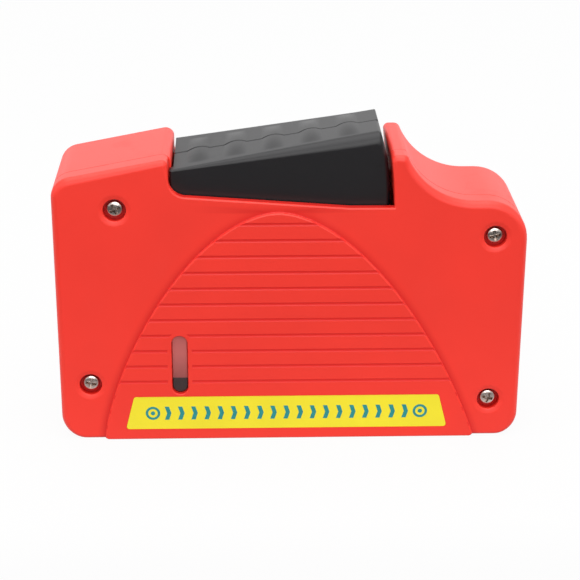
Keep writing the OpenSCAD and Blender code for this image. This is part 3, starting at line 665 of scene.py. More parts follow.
def slab(name, outline, profile, shift=None):
    """A closed solid along Y from one outline. The profile lists (inset, y)."""
    outline = clean_outline(outline)
    p, m = np.array(outline, float), mitres(outline)
    limit = max(d for d, _ in profile)
    room = inward_reach(outline, m, limit + 1e-6) if limit > 0 else np.zeros(len(p))
    rings = [(p - (np.minimum(d, room)[:, None] * m if d > 0 else d * m), y) for d, y in profile]
    return loft(name, rings, shift)


def edge_radii(outline, mitre, radius, low):
    """The edge rounding at each point of an outline.
    It is less in tight corners, along the base and round the lever."""
    c, at = settings().case, Places()
    x, z = outline.T
    wanted = np.minimum(radius, 0.95 * inward_reach(outline, mitre, 1.1 * radius))
    wanted = np.where(z < 0.3 * MM, np.minimum(wanted, low), wanted)
    beside = (x > at.block - c.cover_step - 0.2 * MM) & (x < at.pivot[0] + at.reach + c.fin_gap + 0.1 * MM)
    beside &= (z > c.notch_low - 2 * MM) & (z < c.fin_height - 2.5 * MM)
    steps = np.linalg.norm(np.roll(outline, -1, 0) - outline, axis=1)
    run, whole = np.concatenate([[0], np.cumsum(steps)[:-1]]), steps.sum()
    gap = np.abs(run[:, None] - run[None])
    gap = np.minimum(gap, whole - gap)
    by_the_bay = np.where(beside, np.minimum(c.bay_edge, radius), radius)
    return np.minimum((wanted[None] + SPREAD * gap).min(1), (by_the_bay[None] + SPREAD_BY_BAY * gap).min(1))


def moulding(name, outline, seam, face, radius, low, chamfer, steps=7):
    """A closed solid from its seam to its face, with a broken seam edge and a rounded face edge."""
    outline = clean_outline(outline)
    p, m = np.array(outline, float), mitres(outline)
    r, inward = edge_radii(p, m, radius, low), 1 if seam > face else -1
    rings = [(p - chamfer * m, seam), (p, seam - inward * chamfer)]
    for i in range(steps + 1):
        t = math.pi / 2 * i / steps
        rings.append((p - (r * (1 - math.cos(t)))[:, None] * m, face + inward * r * (1 - math.sin(t))))
    return loft(name, rings)


def rounded(radius, y, inward, steps=6):
    """Profile points of a rounded edge that ends on the plane y, with the solid on its inward side."""
    turns = [math.pi / 2 * i / steps for i in range(steps + 1)]
    return [(radius * (1 - math.cos(t)), y + inward * radius * (1 - math.sin(t))) for t in turns]


def rod(name, at, radius, a, b, steps=48):
    """A round bar along Y."""
    return slab(name, circle(*at, radius, steps), [(0, a), (0, b)])


def block(name, low, high):
    """A plain cutter or web between two corners."""
    (x, y, z), (u, v, w) = low, high
    return slab(name, [(x, z), (u, z), (u, w), (x, w)], [(0, y), (0, v)])


def plain(piece):
    """Makes a piece's evaluated shape its own mesh and drops its modifiers."""
    bpy.context.view_layer.update()
    graph = bpy.context.evaluated_depsgraph_get()
    mesh = bpy.data.meshes.new_from_object(piece.evaluated_get(graph))
    mesh.name = piece.name
    piece.modifiers.clear()
    old, piece.data = piece.data, mesh
    if old.users == 0:
        bpy.data.meshes.remove(old)
    return piece


def carve(piece, *steps):
    """Joins and cuts in order. Each step is ('join' or 'cut', tool), and the tools are removed."""
    for i, (kind, tool) in enumerate(steps):
        work = piece.modifiers.new(f"step{i}", "BOOLEAN")
        work.operation = {"join": "UNION", "cut": "DIFFERENCE"}[kind]
        work.solver = "MANIFOLD"
        work.object = tool
    plain(piece)
    for _, tool in steps:
        discard(tool)
    work = bmesh.new()
    work.from_mesh(piece.data)
    gaps = [edge for edge in work.edges if len(edge.link_faces) == 1]
    bmesh.ops.holes_fill(work, edges=gaps, sides=0)
    work.to_mesh(piece.data)
    work.free()
    if not piece.data.polygons:
        raise RuntimeError(f"carving {piece.name} left nothing")
    return piece


def discard(piece):
    """Removes an object and its mesh."""
    mesh = piece.data
    bpy.data.objects.remove(piece)
    if mesh and mesh.users == 0:
        bpy.data.meshes.remove(mesh)


def soften(piece, angle=34, weighted=True):
    """Smooth shading with sharp edges past an angle in degrees, flat faces kept flat."""
    work = bmesh.new()
    work.from_mesh(piece.data)
    bmesh.ops.remove_doubles(work, verts=work.verts, dist=1e-6)
    bmesh.ops.dissolve_degenerate(work, edges=work.edges, dist=1e-6)
    limit = math.radians(angle)
    for edge in work.edges:
        edge.smooth = len(edge.link_faces) == 2 and edge.calc_face_angle(0.0) < limit
    for face in work.faces:
        face.smooth = True
    work.to_mesh(piece.data)
    work.free()
    if weighted:
        normals = piece.modifiers.new("normals", "WEIGHTED_NORMAL")
        normals.keep_sharp = True
        normals.weight = 60
        plain(piece)
    return piece


def join(name, pieces):
    """Joins pieces into one mesh object."""
    work = bmesh.new()
    for piece in pieces:
        work.from_mesh(piece.data)
        discard(piece)
    mesh = bpy.data.meshes.new(name)
    work.to_mesh(mesh)
    work.free()
    return place_object(name, mesh)


def closed(piece):
    """Raises unless every edge of a piece joins two faces and its faces look outwards."""
    work = bmesh.new()
    work.from_mesh(piece.data)
    gaps = sum(len(edge.link_faces) != 2 for edge in work.edges)
    volume = work.calc_volume(signed=True)
    work.free()
    if gaps or volume <= 0:
        raise RuntimeError(f"{piece.name} has {gaps} open edges and a volume of {volume}")


def finish_piece(piece, material, body, slot, *nodes):
    """Gives a piece its material, its body and the nodes that it stands for. Its slot argument is not used."""
    closed(piece)
    piece.data.materials.clear()
    piece.data.materials.append(material)
    for face in piece.data.polygons:
        face.material_index = 0
    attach(piece, body)
    if nodes:
        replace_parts(piece, *nodes)
    return piece


def both_ways(operation):
    """One of Value's operators and its reflected form."""
    return (
        lambda self, other: self.sheet.maths(operation, self, other),
        lambda self, other: self.sheet.maths(operation, other, self),
    )


class Value:
    """A number socket that takes Python's operators."""

    __add__, __radd__ = both_ways("ADD")
    __sub__, __rsub__ = both_ways("SUBTRACT")
    __mul__, __rmul__ = both_ways("MULTIPLY")
    __truediv__, __rtruediv__ = both_ways("DIVIDE")
    __pow__, __rpow__ = both_ways("POWER")

    def __init__(self, sheet, socket):
        self.sheet, self.socket = sheet, socket

    def __neg__(self):
        return self * -1.0


class Sheet:
    """A node tree under construction, for materials and for Geometry Nodes alike."""

    def __init__(self, tree):
        self.tree = tree

    def add(self, kind, options=None, inputs=None):
        """One node: its options are set first, then the values or links of its sockets."""
        node = self.tree.nodes.new(kind)
        for name, value in (options or {}).items():
            setattr(node, name, value)
        for name, value in (inputs or {}).items():
            self.feed(self.socket(node.inputs, name), value)
        return node

    def get(self, kind, options=None, inputs=None, output=0):
        """One output of a new node."""
        return self.socket(self.add(kind, options, inputs).outputs, output)

    def number(self, kind, options=None, inputs=None, output=0):
        """One output of a new node, as a number."""
        return Value(self, self.get(kind, options, inputs, output))

    def socket(self, sockets, name):
        """A socket by its number, its identifier or its name."""
        if isinstance(name, int):
            return sockets[name]
        return next((s for s in sockets if s.identifier == name), None) or sockets[name]

    def feed(self, socket, value):
        """Links a socket, or sets its value."""
        if isinstance(value, Value):
            value = value.socket
        if isinstance(value, bpy.types.NodeSocket):
            self.tree.links.new(value, socket)
        else:
            socket.default_value = value

    def maths(self, operation, *values):
        """A Math node on one or two numbers."""
        return self.number("ShaderNodeMath", {"operation": operation}, dict(enumerate(values)))

    def tint(self, factor, a, b):
        """A colour between a and b."""
        a, b = [(*c, 1.0) if isinstance(c, (tuple, list)) else c for c in (a, b)]
        inputs = {"Factor_Float": factor, "A_Color": a, "B_Color": b}
        return self.get("ShaderNodeMix", {"data_type": "RGBA"}, inputs, "Result_Color")

    def noise(self, place, scale, detail=2.0, roughness=0.5):
        """Noise from 0 to 1, its scale in features per metre."""
        inputs = {"Vector": place, "Scale": scale, "Detail": detail, "Roughness": roughness}
        return self.number("ShaderNodeTexNoise", None, inputs, "Fac")

    def ramp(self, value, low, high):
        """0 below low, 1 above high, straight between."""
        inputs = {"Value": value, "From Min": low, "From Max": high}
        return self.number("ShaderNodeMapRange", {"clamp": True}, inputs)


class Finish(Sheet):
    """A procedural material under construction, on Object coordinates."""

    def __init__(self, name):
        self.material = bpy.data.materials.new(name)
        self.material.use_nodes = True
        super().__init__(self.material.node_tree)
        self.tree.nodes.clear()
        self.place = self.get("ShaderNodeTexCoord", output="Object")
        self.x, self.y, self.z = self.split(self.place)

    def split(self, vector):
        """The three numbers of a vector."""
        parts = self.add("ShaderNodeSeparateXYZ", None, {"Vector": vector})
        return [Value(self, socket) for socket in parts.outputs]

    def from_axis(self, x, z):
        """Distance from a line along Y through x, z."""
        return self.maths("SQRT", (self.x - x) ** 2.0 + (self.z - z) ** 2.0)

    def surface(self, base, roughness, height, strength, depth, **others):
        """Ends the material in a Principled surface with a bump of the given height, strength and depth."""
        bump = self.get("ShaderNodeBump", None, {"Strength": strength, "Distance": depth, "Height": height})
        inputs = {"Base Color": base, "Roughness": roughness, "Normal": bump}
        inputs.update({name.replace("_", " "): value for name, value in others.items()})
        shader = self.get("ShaderNodeBsdfPrincipled", None, inputs)
        self.add("ShaderNodeOutputMaterial", None, {"Surface": shader})
        return self.material


def lit(c, factor):
    """A colour made lighter or darker."""
    return tuple(min(max(v * factor, 0.0), 1.0) for v in c[:3])


def in_shadow(c, red, rest):
    """A red pigment in shadow, which keeps a share of its red and a share of the rest."""
    return c[0] * red, c[1] * rest, c[2] * rest


def moulded(name, c, roughness, grain, depth, cloud, gloss=0.5, shade=None):
    """Moulded plastic: slow clouding of the pigment, spark-eroded grain and faint handling marks.
    shade, a function of the finish and its colour, deepens the colour where the pigment lies in shadow."""
    f = Finish(name)
    clouds = f.noise(f.place, 38, 3.0)
    speck = f.noise(f.place, 2600, 2.0, 0.6)
    handled = f.ramp(f.noise(f.place, 90, 5.0, 0.65), 0.56, 0.72)
    base = f.tint(f.ramp(clouds, 0.3, 0.7), lit(c, 1 - cloud), lit(c, 1 + cloud))
    base = f.tint(f.ramp(speck, 0.62, 0.8) * 0.18, base, lit(c, 0.8))
    if shade:
        base = shade(f, base)
    rough = roughness + 0.05 * (speck - 0.5) + 0.05 * handled
    return f.surface(base, rough, f.noise(f.place, grain, 3.0, 0.62), 0.5, depth, Specular_IOR_Level=gloss)


def screw_well_shade(f):
    """Mask of the painted shade deep inside the screw holes: 1 there, 0 elsewhere."""
    at, wide = Places(), settings().screws.hole / 2
    first, *others = [f.from_axis(*place) for place in at.screws]
    for away in others:
        first = f.maths("MINIMUM", first, away)
    inside = 1 - f.ramp(first, wide + 0.05 * MM, wide + 0.15 * MM)
    cover = 1 - f.ramp(f.y, at.seam, at.seam + 0.1 * MM)
    return inside * cover * f.ramp(f.y, at.face + 0.3 * MM, at.face + 1.5 * MM)


def beside_panel(f):
    """How far a point lies outside the panel's outline, sideways and by the shortest way."""
    p = settings().panel
    high = f.maths("MINIMUM", f.maths("MAXIMUM", f.z / p.height, 0.0), 0.999)
    fall = 1 - high**BOW
    sideways = f.maths("ABSOLUTE", f.x + p.lean * high**SWAY) - panel_half(0.0) * fall**FULLNESS
    steep = panel_half(0.0) * FULLNESS * BOW / p.height * high ** (BOW - 1) * fall ** (FULLNESS - 1)
    shortest = sideways / f.maths("SQRT", 1 + steep**2.0)
    return sideways, f.maths("MAXIMUM", shortest, f.z - p.height)


def panel_foot_shade(f):
    """Mask of the painted shade on the cover at the foot of the panel: 1 there, easing to 0 away from it."""
    face = Places().face
    _, away = beside_panel(f)
    cover = f.ramp(f.y, face - 0.35 * MM, face - 0.15 * MM) * (1 - f.ramp(f.y, face + 0.05 * MM, face + MM))
    return cover * (1 - f.ramp(away, 0.2 * MM, 2.2 * MM)) ** 1.7


def ledge_shadow(f):
    """Mask of the painted shadow on the ledge below the lever: 1 there, 0 elsewhere."""
    c, at = settings().case, Places()
    far = at.pivot[0] + at.reach + c.fin_gap
    line = c.notch_height + (c.notch_low - c.notch_height) * f.ramp(f.x, at.block + 4 * MM, far - c.ledge_flat)
    under = 1 - f.ramp(f.z, line + 0.2 * MM, line + 0.6 * MM)
    between = f.ramp(f.x, at.block - MM, at.block) * (1 - f.ramp(f.x, far - MM, far))
    front = f.ramp(f.y, at.face + 0.4 * MM, at.face + 0.6 * MM)
    back = f.ramp(f.y, at.back - 0.9 * MM, at.back - 0.7 * MM)
    return under * between * front * (1 - back) * f.ramp(f.z, 61 * MM, 62 * MM)


def groove_shade(f):
    """Mask of the painted shade inside the panel's grooves: 1 there, 0 elsewhere."""
    p, at = settings().panel, Places()
    away, _ = beside_panel(f)
    steps = (p.height - p.groove_drop - f.z) / p.groove_pitch
    beside = f.maths("ABSOLUTE", steps - f.maths("ROUND", steps)) * p.groove_pitch
    wide = math.sqrt(p.groove_depth * (2 * p.groove_radius - p.groove_depth))
    within = 1 - f.ramp(away + p.groove_margin, -0.1 * MM, 0.1 * MM)
    near = 1 - f.ramp(beside, wide, wide + 0.08 * MM)
    below = f.ramp(f.y, at.panel_face + 0.003 * MM, at.panel_face + 0.02 * MM)
    above = 1 - f.ramp(f.y, at.face - 0.2 * MM, at.face - 0.1 * MM)
    return within * near * below * above


@cache
def case_red():
    """Red plastic with painted shade in the screw wells, at the foot of the panel, on the ledge under the lever
    and in the grooves.
    """
    c = settings().colours.case_red

    def shade(f, base):
        # Painted shade: the red is darkened deep inside the screw holes, where shadow falls.
        base = f.tint(screw_well_shade(f), base, in_shadow(c, 0.62, 0.12))
        # Painted shade at the foot of the panel, and painted shadow on the ledge under the lever.
        base = f.tint(f.maths("MAXIMUM", panel_foot_shade(f), ledge_shadow(f)), base, in_shadow(c, 0.76, 0.35))
        # Painted shade in the grooves.
        return f.tint(groove_shade(f), base, in_shadow(c, 0.86, 0.35))

    return moulded("case_red", c, 0.42, 3400, 0.03 * MM, 0.035, 0.5, shade)


@cache
def plastic(name):
    """One of the plain plastics: its colour, roughness, grain per metre, grain depth, clouding and gloss."""
    c = settings().colours
    return moulded(
        name,
        *{
            "lever_black": (c.lever_black, 0.4, 3000, 0.03 * MM, 0.12, 0.5),
            "ivory_plastic": (c.ivory, 0.48, 2200, 0.02 * MM, 0.03, 0.5),
            "white_plastic": (c.white, 0.4, 2600, 0.02 * MM, 0.02, 0.5),
            "black_plastic": (c.black, 0.44, 2600, 0.03 * MM, 0.1, 0.5),
            "pad_rubber": (c.rubber, 0.78, 5200, 0.05 * MM, 0.1, 0.35),
        }[name],
    )


@cache
def label_film():
    """Printed film: even ink with a soft orange-peel and a faint screen of print."""
    c, f = settings().colours.label_yellow, Finish("label_film")
    peel = f.noise(f.place, 700, 2.0)
    dots = {"Vector": f.place, "Scale": 4200.0}
    screen = f.number("ShaderNodeTexVoronoi", {"feature": "F1"}, dots, "Distance")
    base = f.tint(f.ramp(f.noise(f.place, 60, 3.0), 0.3, 0.7), lit(c, 0.96), lit(c, 1.03))
    base = f.tint(f.ramp(screen, 0.45, 0.8) * 0.12, base, lit(c, 0.82))
    return f.surface(base, 0.36 + 0.1 * peel, peel, 0.35, 0.02 * MM, Coat_Weight=0.1)


@cache
def mark_ink():
    """Screen-printed teal ink, a little uneven in its cover."""
    c, f = settings().colours.mark_teal, Finish("mark_ink")
    cover = f.noise(f.place, 1500, 4.0, 0.6)
    base = f.tint(f.ramp(cover, 0.35, 0.75), lit(c, 0.86), lit(c, 1.2))
    return f.surface(base, 0.45 + 0.12 * cover, cover, 0.3, 0.01 * MM)


@cache
def clear_lens():
    """Clear moulded lens with a faint haze. Its colour paints in the lit tape behind it, lighter towards the
    top, and paints shade at its foot below the tape's low mark, where the inside is dark.
    """
    c, f = settings().colours, Finish("clear_lens")
    haze = f.noise(f.place, 420, 3.0)
    # Painted light and shade: the lit tape behind the lens, lighter towards the top, above a shaded foot.
    tape = f.tint(f.ramp(f.z, 17.4 * MM, 24 * MM), lit(c.lens_clear, 0.62), lit(c.lens_clear, 1.2))
    tape = f.tint(haze * 0.3, tape, lit(c.lens_clear, 1.3))
    foot = 1 - f.ramp(f.z, 17.2 * MM, 17.4 * MM)
    base = f.tint(foot, tape, lit(c.lens_foot_shade, 1))
    return f.surface(base, 0.16 + 0.12 * haze, haze, 0.15, 0.02 * MM, Alpha=0.9 + 0.05 * foot, Coat_Weight=0.2)


@cache
def ground_metal(name, level, roughness, stretch):
    """Ground or drawn steel with fine marks along one axis."""
    c, f = lit(settings().colours.steel, level), Finish(name)
    along = f.get("ShaderNodeMapping", None, {"Vector": f.place, "Scale": stretch})
    lines, stain = f.noise(along, 900, 4.0, 0.6), f.noise(f.place, 160, 3.0)
    base = f.tint(f.ramp(stain, 0.3, 0.75), lit(c, 0.88), lit(c, 1.08))
    return f.surface(base, roughness + 0.16 * (lines - 0.5) + 0.05 * stain, lines, 0.4, 0.01 * MM, Metallic=1.0)


def pin_steel():
    """Ground pins."""
    return ground_metal("pin_steel", 1.0, 0.26, (1.0, 8.0, 1.0))


def spring_steel():
    """Drawn spring wire and leaf."""
    return ground_metal("spring_steel", 0.72, 0.34, (1.0, 1.0, 6.0))


@cache
def screw_steel():
    """Nickel plate with painted shade that darkens its low places."""
    c, f, face = settings().colours.nickel, Finish("screw_steel"), Places().face
    stain = f.noise(f.place, 900, 4.0, 0.6)
    # Painted shade: darker further in, towards the seat of the head and the bottom of its cross recess.
    deep = f.ramp(f.y, face + 1.75 * MM, face + 2.5 * MM)
    base = f.tint(f.ramp(stain, 0.4, 0.8) * 0.5 + deep * 0.5, lit(c, 1), lit(c, 0.45))
    grain = f.noise(f.place, 2400, 3.0)
    return f.surface(base, 0.13 + 0.12 * stain + 0.15 * deep, grain, 0.3, 0.02 * MM, Metallic=1.0)


@cache
def tape_cloth():
    """Lint-free woven tape: warp and weft threads from two crossed waves along the tape's own UVs."""
    c, f = settings().colours.cloth, Finish("tape_cloth")
    across, along, _ = f.split(f.get("ShaderNodeTexCoord", output="UV"))
    warp, weft = [f.maths("ABSOLUTE", f.maths("SINE", way * 6200.0)) for way in (across, along)]
    thread, fluff = f.maths("MAXIMUM", warp, weft), f.noise(f.place, 1800, 4.0, 0.7)
    base = f.tint(f.ramp(thread, 0.2, 0.95), lit(c, 0.82), lit(c, 1.04))
    base = f.tint(f.ramp(fluff, 0.5, 0.9) * 0.4, base, lit(c, 0.9))
    return f.surface(base, 0.86 + 0.08 * fluff, thread + 0.3 * fluff, 0.5, 0.04 * MM, Sheen_Weight=0.25)


@cache
def tape_roll():
    """Edge of the wound tape: rings of turns round each axle, on Object coordinates."""
    c, f, at = settings().colours.cloth, Finish("tape_roll"), Places()
    near_supply = 1 - f.ramp(f.x, -0.5 * MM, 0.5 * MM)
    out = f.from_axis(*at.supply) * near_supply + f.from_axis(*at.takeup) * (1 - near_supply)
    rings = f.maths("SINE", out * (2 * math.pi / (0.25 * MM)))
    fluff = f.noise(f.place, 1400, 4.0, 0.7)
    base = f.tint(f.ramp(rings, -0.8, 0.6), lit(c, 0.76), lit(c, 1.02))
    base = f.tint(f.ramp(fluff, 0.5, 0.85) * 0.4, base, lit(c, 0.88))
    return f.surface(base, 0.85 + 0.1 * fluff, rings * 0.5 + fluff * 0.4, 0.5, 0.05 * MM, Sheen_Weight=0.2)


SOCKETS = {int: "Int", float: "Float", tuple: "Vector", bpy.types.Object: "Object"}


class Recipe(Sheet):
    """A Geometry Nodes tree under construction. One table gives the names of its inputs and their values."""

    def __init__(self, name, values):
        self.values = values
        super().__init__(bpy.data.node_groups.new(name, "GeometryNodeTree"))
        face = self.tree.interface
        face.new_socket("Geometry", in_out="INPUT", socket_type="NodeSocketGeometry")
        for label, value in values.items():
            face.new_socket(label, in_out="INPUT", socket_type="NodeSocket" + SOCKETS[type(value)])
        face.new_socket("Geometry", in_out="OUTPUT", socket_type="NodeSocketGeometry")
        self.entry = self.tree.nodes.new("NodeGroupInput")

    def want(self, name):
        """One of the tree's inputs."""
        return Value(self, self.socket(self.entry.outputs, name))

    def vector(self, x=0.0, y=0.0, z=0.0):
        """A vector of three numbers."""
        return self.get("ShaderNodeCombineXYZ", None, {"X": x, "Y": y, "Z": z})

    def grow(self, name, geometry, material, points=((0, 0, 0),)):
        """Ends the tree in Realize Instances and Set Material, runs it on points and keeps the plain mesh."""
        real = self.get("GeometryNodeRealizeInstances", None, {"Geometry": geometry})
        real = self.get("GeometryNodeSetMaterial", None, {"Geometry": real, "Material": material})
        self.tree.links.new(real, self.tree.nodes.new("NodeGroupOutput").inputs[0])
        mesh = bpy.data.meshes.new(name)
        mesh.from_pydata([tuple(p) for p in points], [], [])
        piece = place_object(name, mesh)
        work = piece.modifiers.new("shape", "NODES")
        work.node_group = self.tree
        for item in self.tree.interface.items_tree:
            if item.in_out == "INPUT" and item.name in self.values:
                work[item.identifier] = self.values[item.name]
        plain(piece)
        if not piece.data.polygons:
            raise RuntimeError(f"{name} came out empty")
        return piece


def groove_cutters():
    """One round bar for each groove, as long as the panel is wide at its height."""
    p, at = settings().panel, Places()
    values = {
        "Count": p.groove_count,
        "Pitch": p.groove_pitch,
        "Radius": p.groove_radius,
        "Panel height": p.height,
        "Half width": panel_half(0.0),
        "Lean": p.lean,
        "Margin": p.groove_margin,
        "Face": at.panel_face + p.groove_depth - p.groove_radius,
        "Top": p.height - p.groove_drop,
    }
    r = Recipe("panel_grooves", values)
    count, pitch, radius, tall, wide, lean, margin, face, top = map(r.want, values)
    line = {"Count": count, "Start Location": r.vector(0.0, face, top), "Offset": r.vector(0.0, 0.0, -pitch)}
    line = r.get("GeometryNodeMeshLine", {"mode": "OFFSET"}, line)
    z = r.number("ShaderNodeSeparateXYZ", None, {"Vector": r.get("GeometryNodeInputPosition")}, "Z")
    high = z / tall
    half = wide * (1 - high**BOW) ** FULLNESS - margin
    middle = r.vector(-lean * high**SWAY, 0.0, 0.0)
    line = r.get("GeometryNodeSetPosition", None, {"Geometry": line, "Offset": middle})
    bar = {"Vertices": 72, "Side Segments": 1, "Radius": radius, "Depth": 2.0}
    bar = r.get("GeometryNodeMeshCylinder", {"fill_type": "NGON"}, bar, "Mesh")
    bar = r.get("GeometryNodeTransform", None, {"Geometry": bar, "Rotation": (0.0, math.pi / 2, 0.0)})
    many = {"Points": line, "Instance": bar, "Scale": r.vector(half, 1.0, 1.0)}
    return r.grow("grooves", r.get("GeometryNodeInstanceOnPoints", None, many), case_red())


def spread_template(name, template, points, seed, most, material):
    """Stands a template on points, each with its own fixed turn about Y up to the most, as plain mesh."""
    r = Recipe(name, {"Template": template, "Seed": seed})
    info = {"Object": r.want("Template")}
    info = r.get("GeometryNodeObjectInfo", {"transform_space": "ORIGINAL"}, info, "Geometry")
    turned = {"Min_001": 0.0, "Max_001": most, "Seed": r.want("Seed")}
    turned = r.vector(0.0, r.number("FunctionNodeRandomValue", {"data_type": "FLOAT"}, turned, 1), 0.0)
    many = {"Points": r.want("Geometry"), "Instance": info, "Rotation": turned}
    piece = r.grow(name, r.get("GeometryNodeInstanceOnPoints", None, many), material, points)
    discard(template)
    return piece


def coil(name, at, radius, wire, low, high, turns):
    """A wire coil along Z, swept by Geometry Nodes."""
    values = {
        "Turns": turns,
        "Coil radius": radius,
        "Wire radius": wire,
        "Height": high - low,
        "Foot": (at[0], at[1], low),
    }
    r = Recipe(name, values)
    rounds, wide, thick, tall, foot = map(r.want, values)
    line = {"Resolution": 28, "Rotations": rounds, "Start Radius": wide, "End Radius": wide, "Height": tall}
    line = r.get("GeometryNodeCurveSpiral", None, line)
    loop = {"Resolution": 14, "Radius": thick}
    loop = r.get("GeometryNodeCurvePrimitiveCircle", {"mode": "RADIUS"}, loop)
    swept = {"Curve": line, "Profile Curve": loop, "Fill Caps": True}
    swept = r.get("GeometryNodeCurveToMesh", None, swept)
    moved = r.get("GeometryNodeTransform", None, {"Geometry": swept, "Translation": foot})
    return r.grow(name, moved, spring_steel())


def posts(places, radius, a, b):
    """Joining steps for a round post at each place."""
    return [("join", rod("post", place, radius, a, b)) for place in places]


def bores(places, radius, a, b):
    """Cutting steps for a round hole at each place."""
    return [("cut", rod("bore", place, radius, a, b, 32)) for place in places]


class CASSETTE_OT_front_cover(bpy.types.Operator):
    """Builds the front cover with its ribbed panel, screw dishes and gauge window"""

    bl_idname = "cassette.front_cover"
    bl_label = "Front cover"

    def execute(self, context):
        s, at = settings(), Places()
        c, w = s.case, s.screws
        outline = case_outline(c.cover_step, c.cover_drop)
        shell = moulding("front_shell", outline, at.seam, at.face, c.edge_radius, c.base_edge, c.seam_chamfer)
        root, behind = at.front_in - BITE, at.seam + MM
        bay = (at.block - c.cover_step, at.front_in, BAY_FLOOR)
        low = (at.takeup[0] + CLAMP_AT[0], at.takeup[1] + CLAMP_AT[1])
        clamp = (low[0] + CLAMP, at.mid - at.link_out - SIDE_GAP, low[1] + CLAMP)
        seat, axles = at.face + w.sink + w.head_height, (at.supply, at.takeup)
        carve(
            shell,
            ("cut", slab("room", room_outline(), [(0, at.front_in), (0, behind)])),
            ("cut", block("bay", bay, (at.bay_end, behind, BAY_TOP))),
            ("join", self.panel()),
            *posts(at.screws, SCREW_POST, root, at.seam - CLEARANCE),
            *posts(axles, AXLE_POST, root, at.mid - at.link_out - AXLE_PLAY),
            *posts([at.pivot], PIVOT_POST, root, at.mid - at.lever_out - END_PLAY),
            ("join", block("clamp", (low[0], root, low[1]), clamp)),
            *[("cut", self.dished_hole(place, seat)) for place in at.screws],
            *bores(at.screws, w.shank / 2 + 0.06 * MM, at.face, behind),
            *bores(axles, AXLE_BORE, at.front_in, at.seam + 6 * MM),
            *bores([at.pivot], PIVOT_BORE, at.front_in, behind),
            ("cut", self.window()),
        )
        soften(shell, 32)
        finish_piece(shell, case_red(), "case", "case_red", "front_cover")
        return {"FINISHED"}

    def panel(self):
        """The ribbed panel with a flared foot, its grooves kept clear of the window, and the label's recess."""
        p, at = settings().panel, Places()
        turns = [math.pi / 2 * i / 5 for i in range(6)]
        foot = [(-p.flare_width * (1 - math.sin(t)), at.face - p.flare * (1 - math.cos(t))) for t in turns]
        levels = [(-p.flare_width, at.face + 2 * MM)] + foot + rounded(p.edge, at.panel_face, 1, 5)
        panel = slab("panel", panel_outline(), levels, lambda x, y, z: (x, y, max(z, 0.0)))
        more = 2 * p.window_margin
        around = slot_outline(at.window, p.window_width + more, p.window_length + more)
        land = slab("land", around, [(0, at.panel_face - 2 * MM), (0, at.panel_face + 2 * MM)])
        grooves = carve(groove_cutters(), ("cut", land))
        levels = [(0, at.panel_face + p.label_recess), (0, at.panel_face - MM)]
        return carve(panel, ("cut", grooves), ("cut", slab("recess", label_outline(LABEL_FIT), levels)))

    def window(self):
        """The cutter of the gauge window, which leaves a rounded lip."""
        p, at, lip = settings().panel, Places(), WINDOW_LIP
        levels = [(0, at.front_in + MM)] + [(-d, y) for d, y in rounded(lip, at.panel_face, 1, 4)]
        outline = slot_outline(at.window, p.window_width, p.window_length)
        return slab("window", outline, levels + [(-lip, at.panel_face - MM)])

    def dished_hole(self, place, seat):
        """The cutter of a screw hole with a shallow dish and a softened rim."""
        w, face = settings().screws, Places().face
        dish, deep = w.dish / 2, w.dish_depth
        wide = dish - w.hole / 2
        levels = [(0.0, face - MM)]
        for i in range(9):
            inset = (wide - 0.2 * MM) * i / 8
            levels.append((inset, face + deep * (inset / wide) ** 1.3))
        foot = levels[-1][1]
        levels += [(wide - 0.06 * MM, foot + 0.08 * MM), (wide, foot + 0.25 * MM), (wide, seat)]
        return slab("hole", circle(*place, dish, 56), levels)


class CASSETTE_OT_rear_shell(bpy.types.Operator):
    """Builds the rear shell with its rails, shelf and bosses"""

    bl_idname = "cassette.rear_shell"
    bl_label = "Rear shell"

    def execute(self, context):
        c, at = settings().case, Places()
        mid, deep, inner = at.mid, at.back_in + BITE, at.back_in
        outline = case_outline(corner=c.block_rear_radius)
        shell = moulding("rear_case", outline, at.seam, at.back, c.back_radius, c.base_edge, c.seam_chamfer)
        (wide, half), axles = BASE_WINDOW, (at.supply, at.takeup)
        brake = point_at(*at.supply, BRAKE_REACH, BRAKE_TURN)
        foot = (brake[0] - STAND_HALF, mid + at.flange_out, brake[1] - STAND_TALL)
        low, plate, lip = c.wall - BITE, c.wall + PLATE_THICK, mid + RAIL + RAIL_LIP
        webs = [
            ((SHELF - SHELF_HALF, mid - SHELF_DEEP, SHELF_LOW), (SHELF + SHELF_HALF, deep, SHELF_TOP)),
            ((-RAIL_FAR, at.seam + CLEARANCE, low), (RAIL_FAR, mid - RAIL, plate)),
            ((RAIL_NEAR, mid + RAIL, low), (RAIL_FAR, lip, plate)),
            ((-RAIL_FAR, mid + RAIL, low), (-RAIL_NEAR, lip, plate)),
            (foot, (brake[0] + STAND_HALF, deep, brake[1])),
        ]
        carve(
            shell,
            ("cut", slab("room", room_outline(), [(0, at.seam - MM), (0, inner)])),
            ("cut", block("bay", (at.block, at.seam - MM, BAY_FLOOR), (at.bay_end, inner, BAY_TOP))),
            ("cut", block("base", (-wide, mid - half, -MM), (wide, mid + half, c.wall + MM))),
            *posts(at.screws, SCREW_POST, at.seam + CLEARANCE, deep),
            *posts(axles, AXLE_POST, mid + at.link_in, deep),
            *posts([at.link], AXLE_POST, mid + at.link_out + END_PLAY, deep),
            *posts([at.pivot], PIVOT_POST, mid + at.lever_out + END_PLAY, deep),
            *[("join", block("web", *corners)) for corners in webs],
            *bores(at.screws, PILOT_BORE, at.seam - MM, inner),
            *bores(axles, AXLE_BORE, at.seam, inner),
            *bores([at.link], LINK_BORE, at.seam, inner),
            *bores([at.pivot], PIVOT_BORE, at.seam, inner),
        )
        soften(shell, 32)
        finish_piece(shell, case_red(), "case", "case_red", "rear_shell")
        return {"FINISHED"}


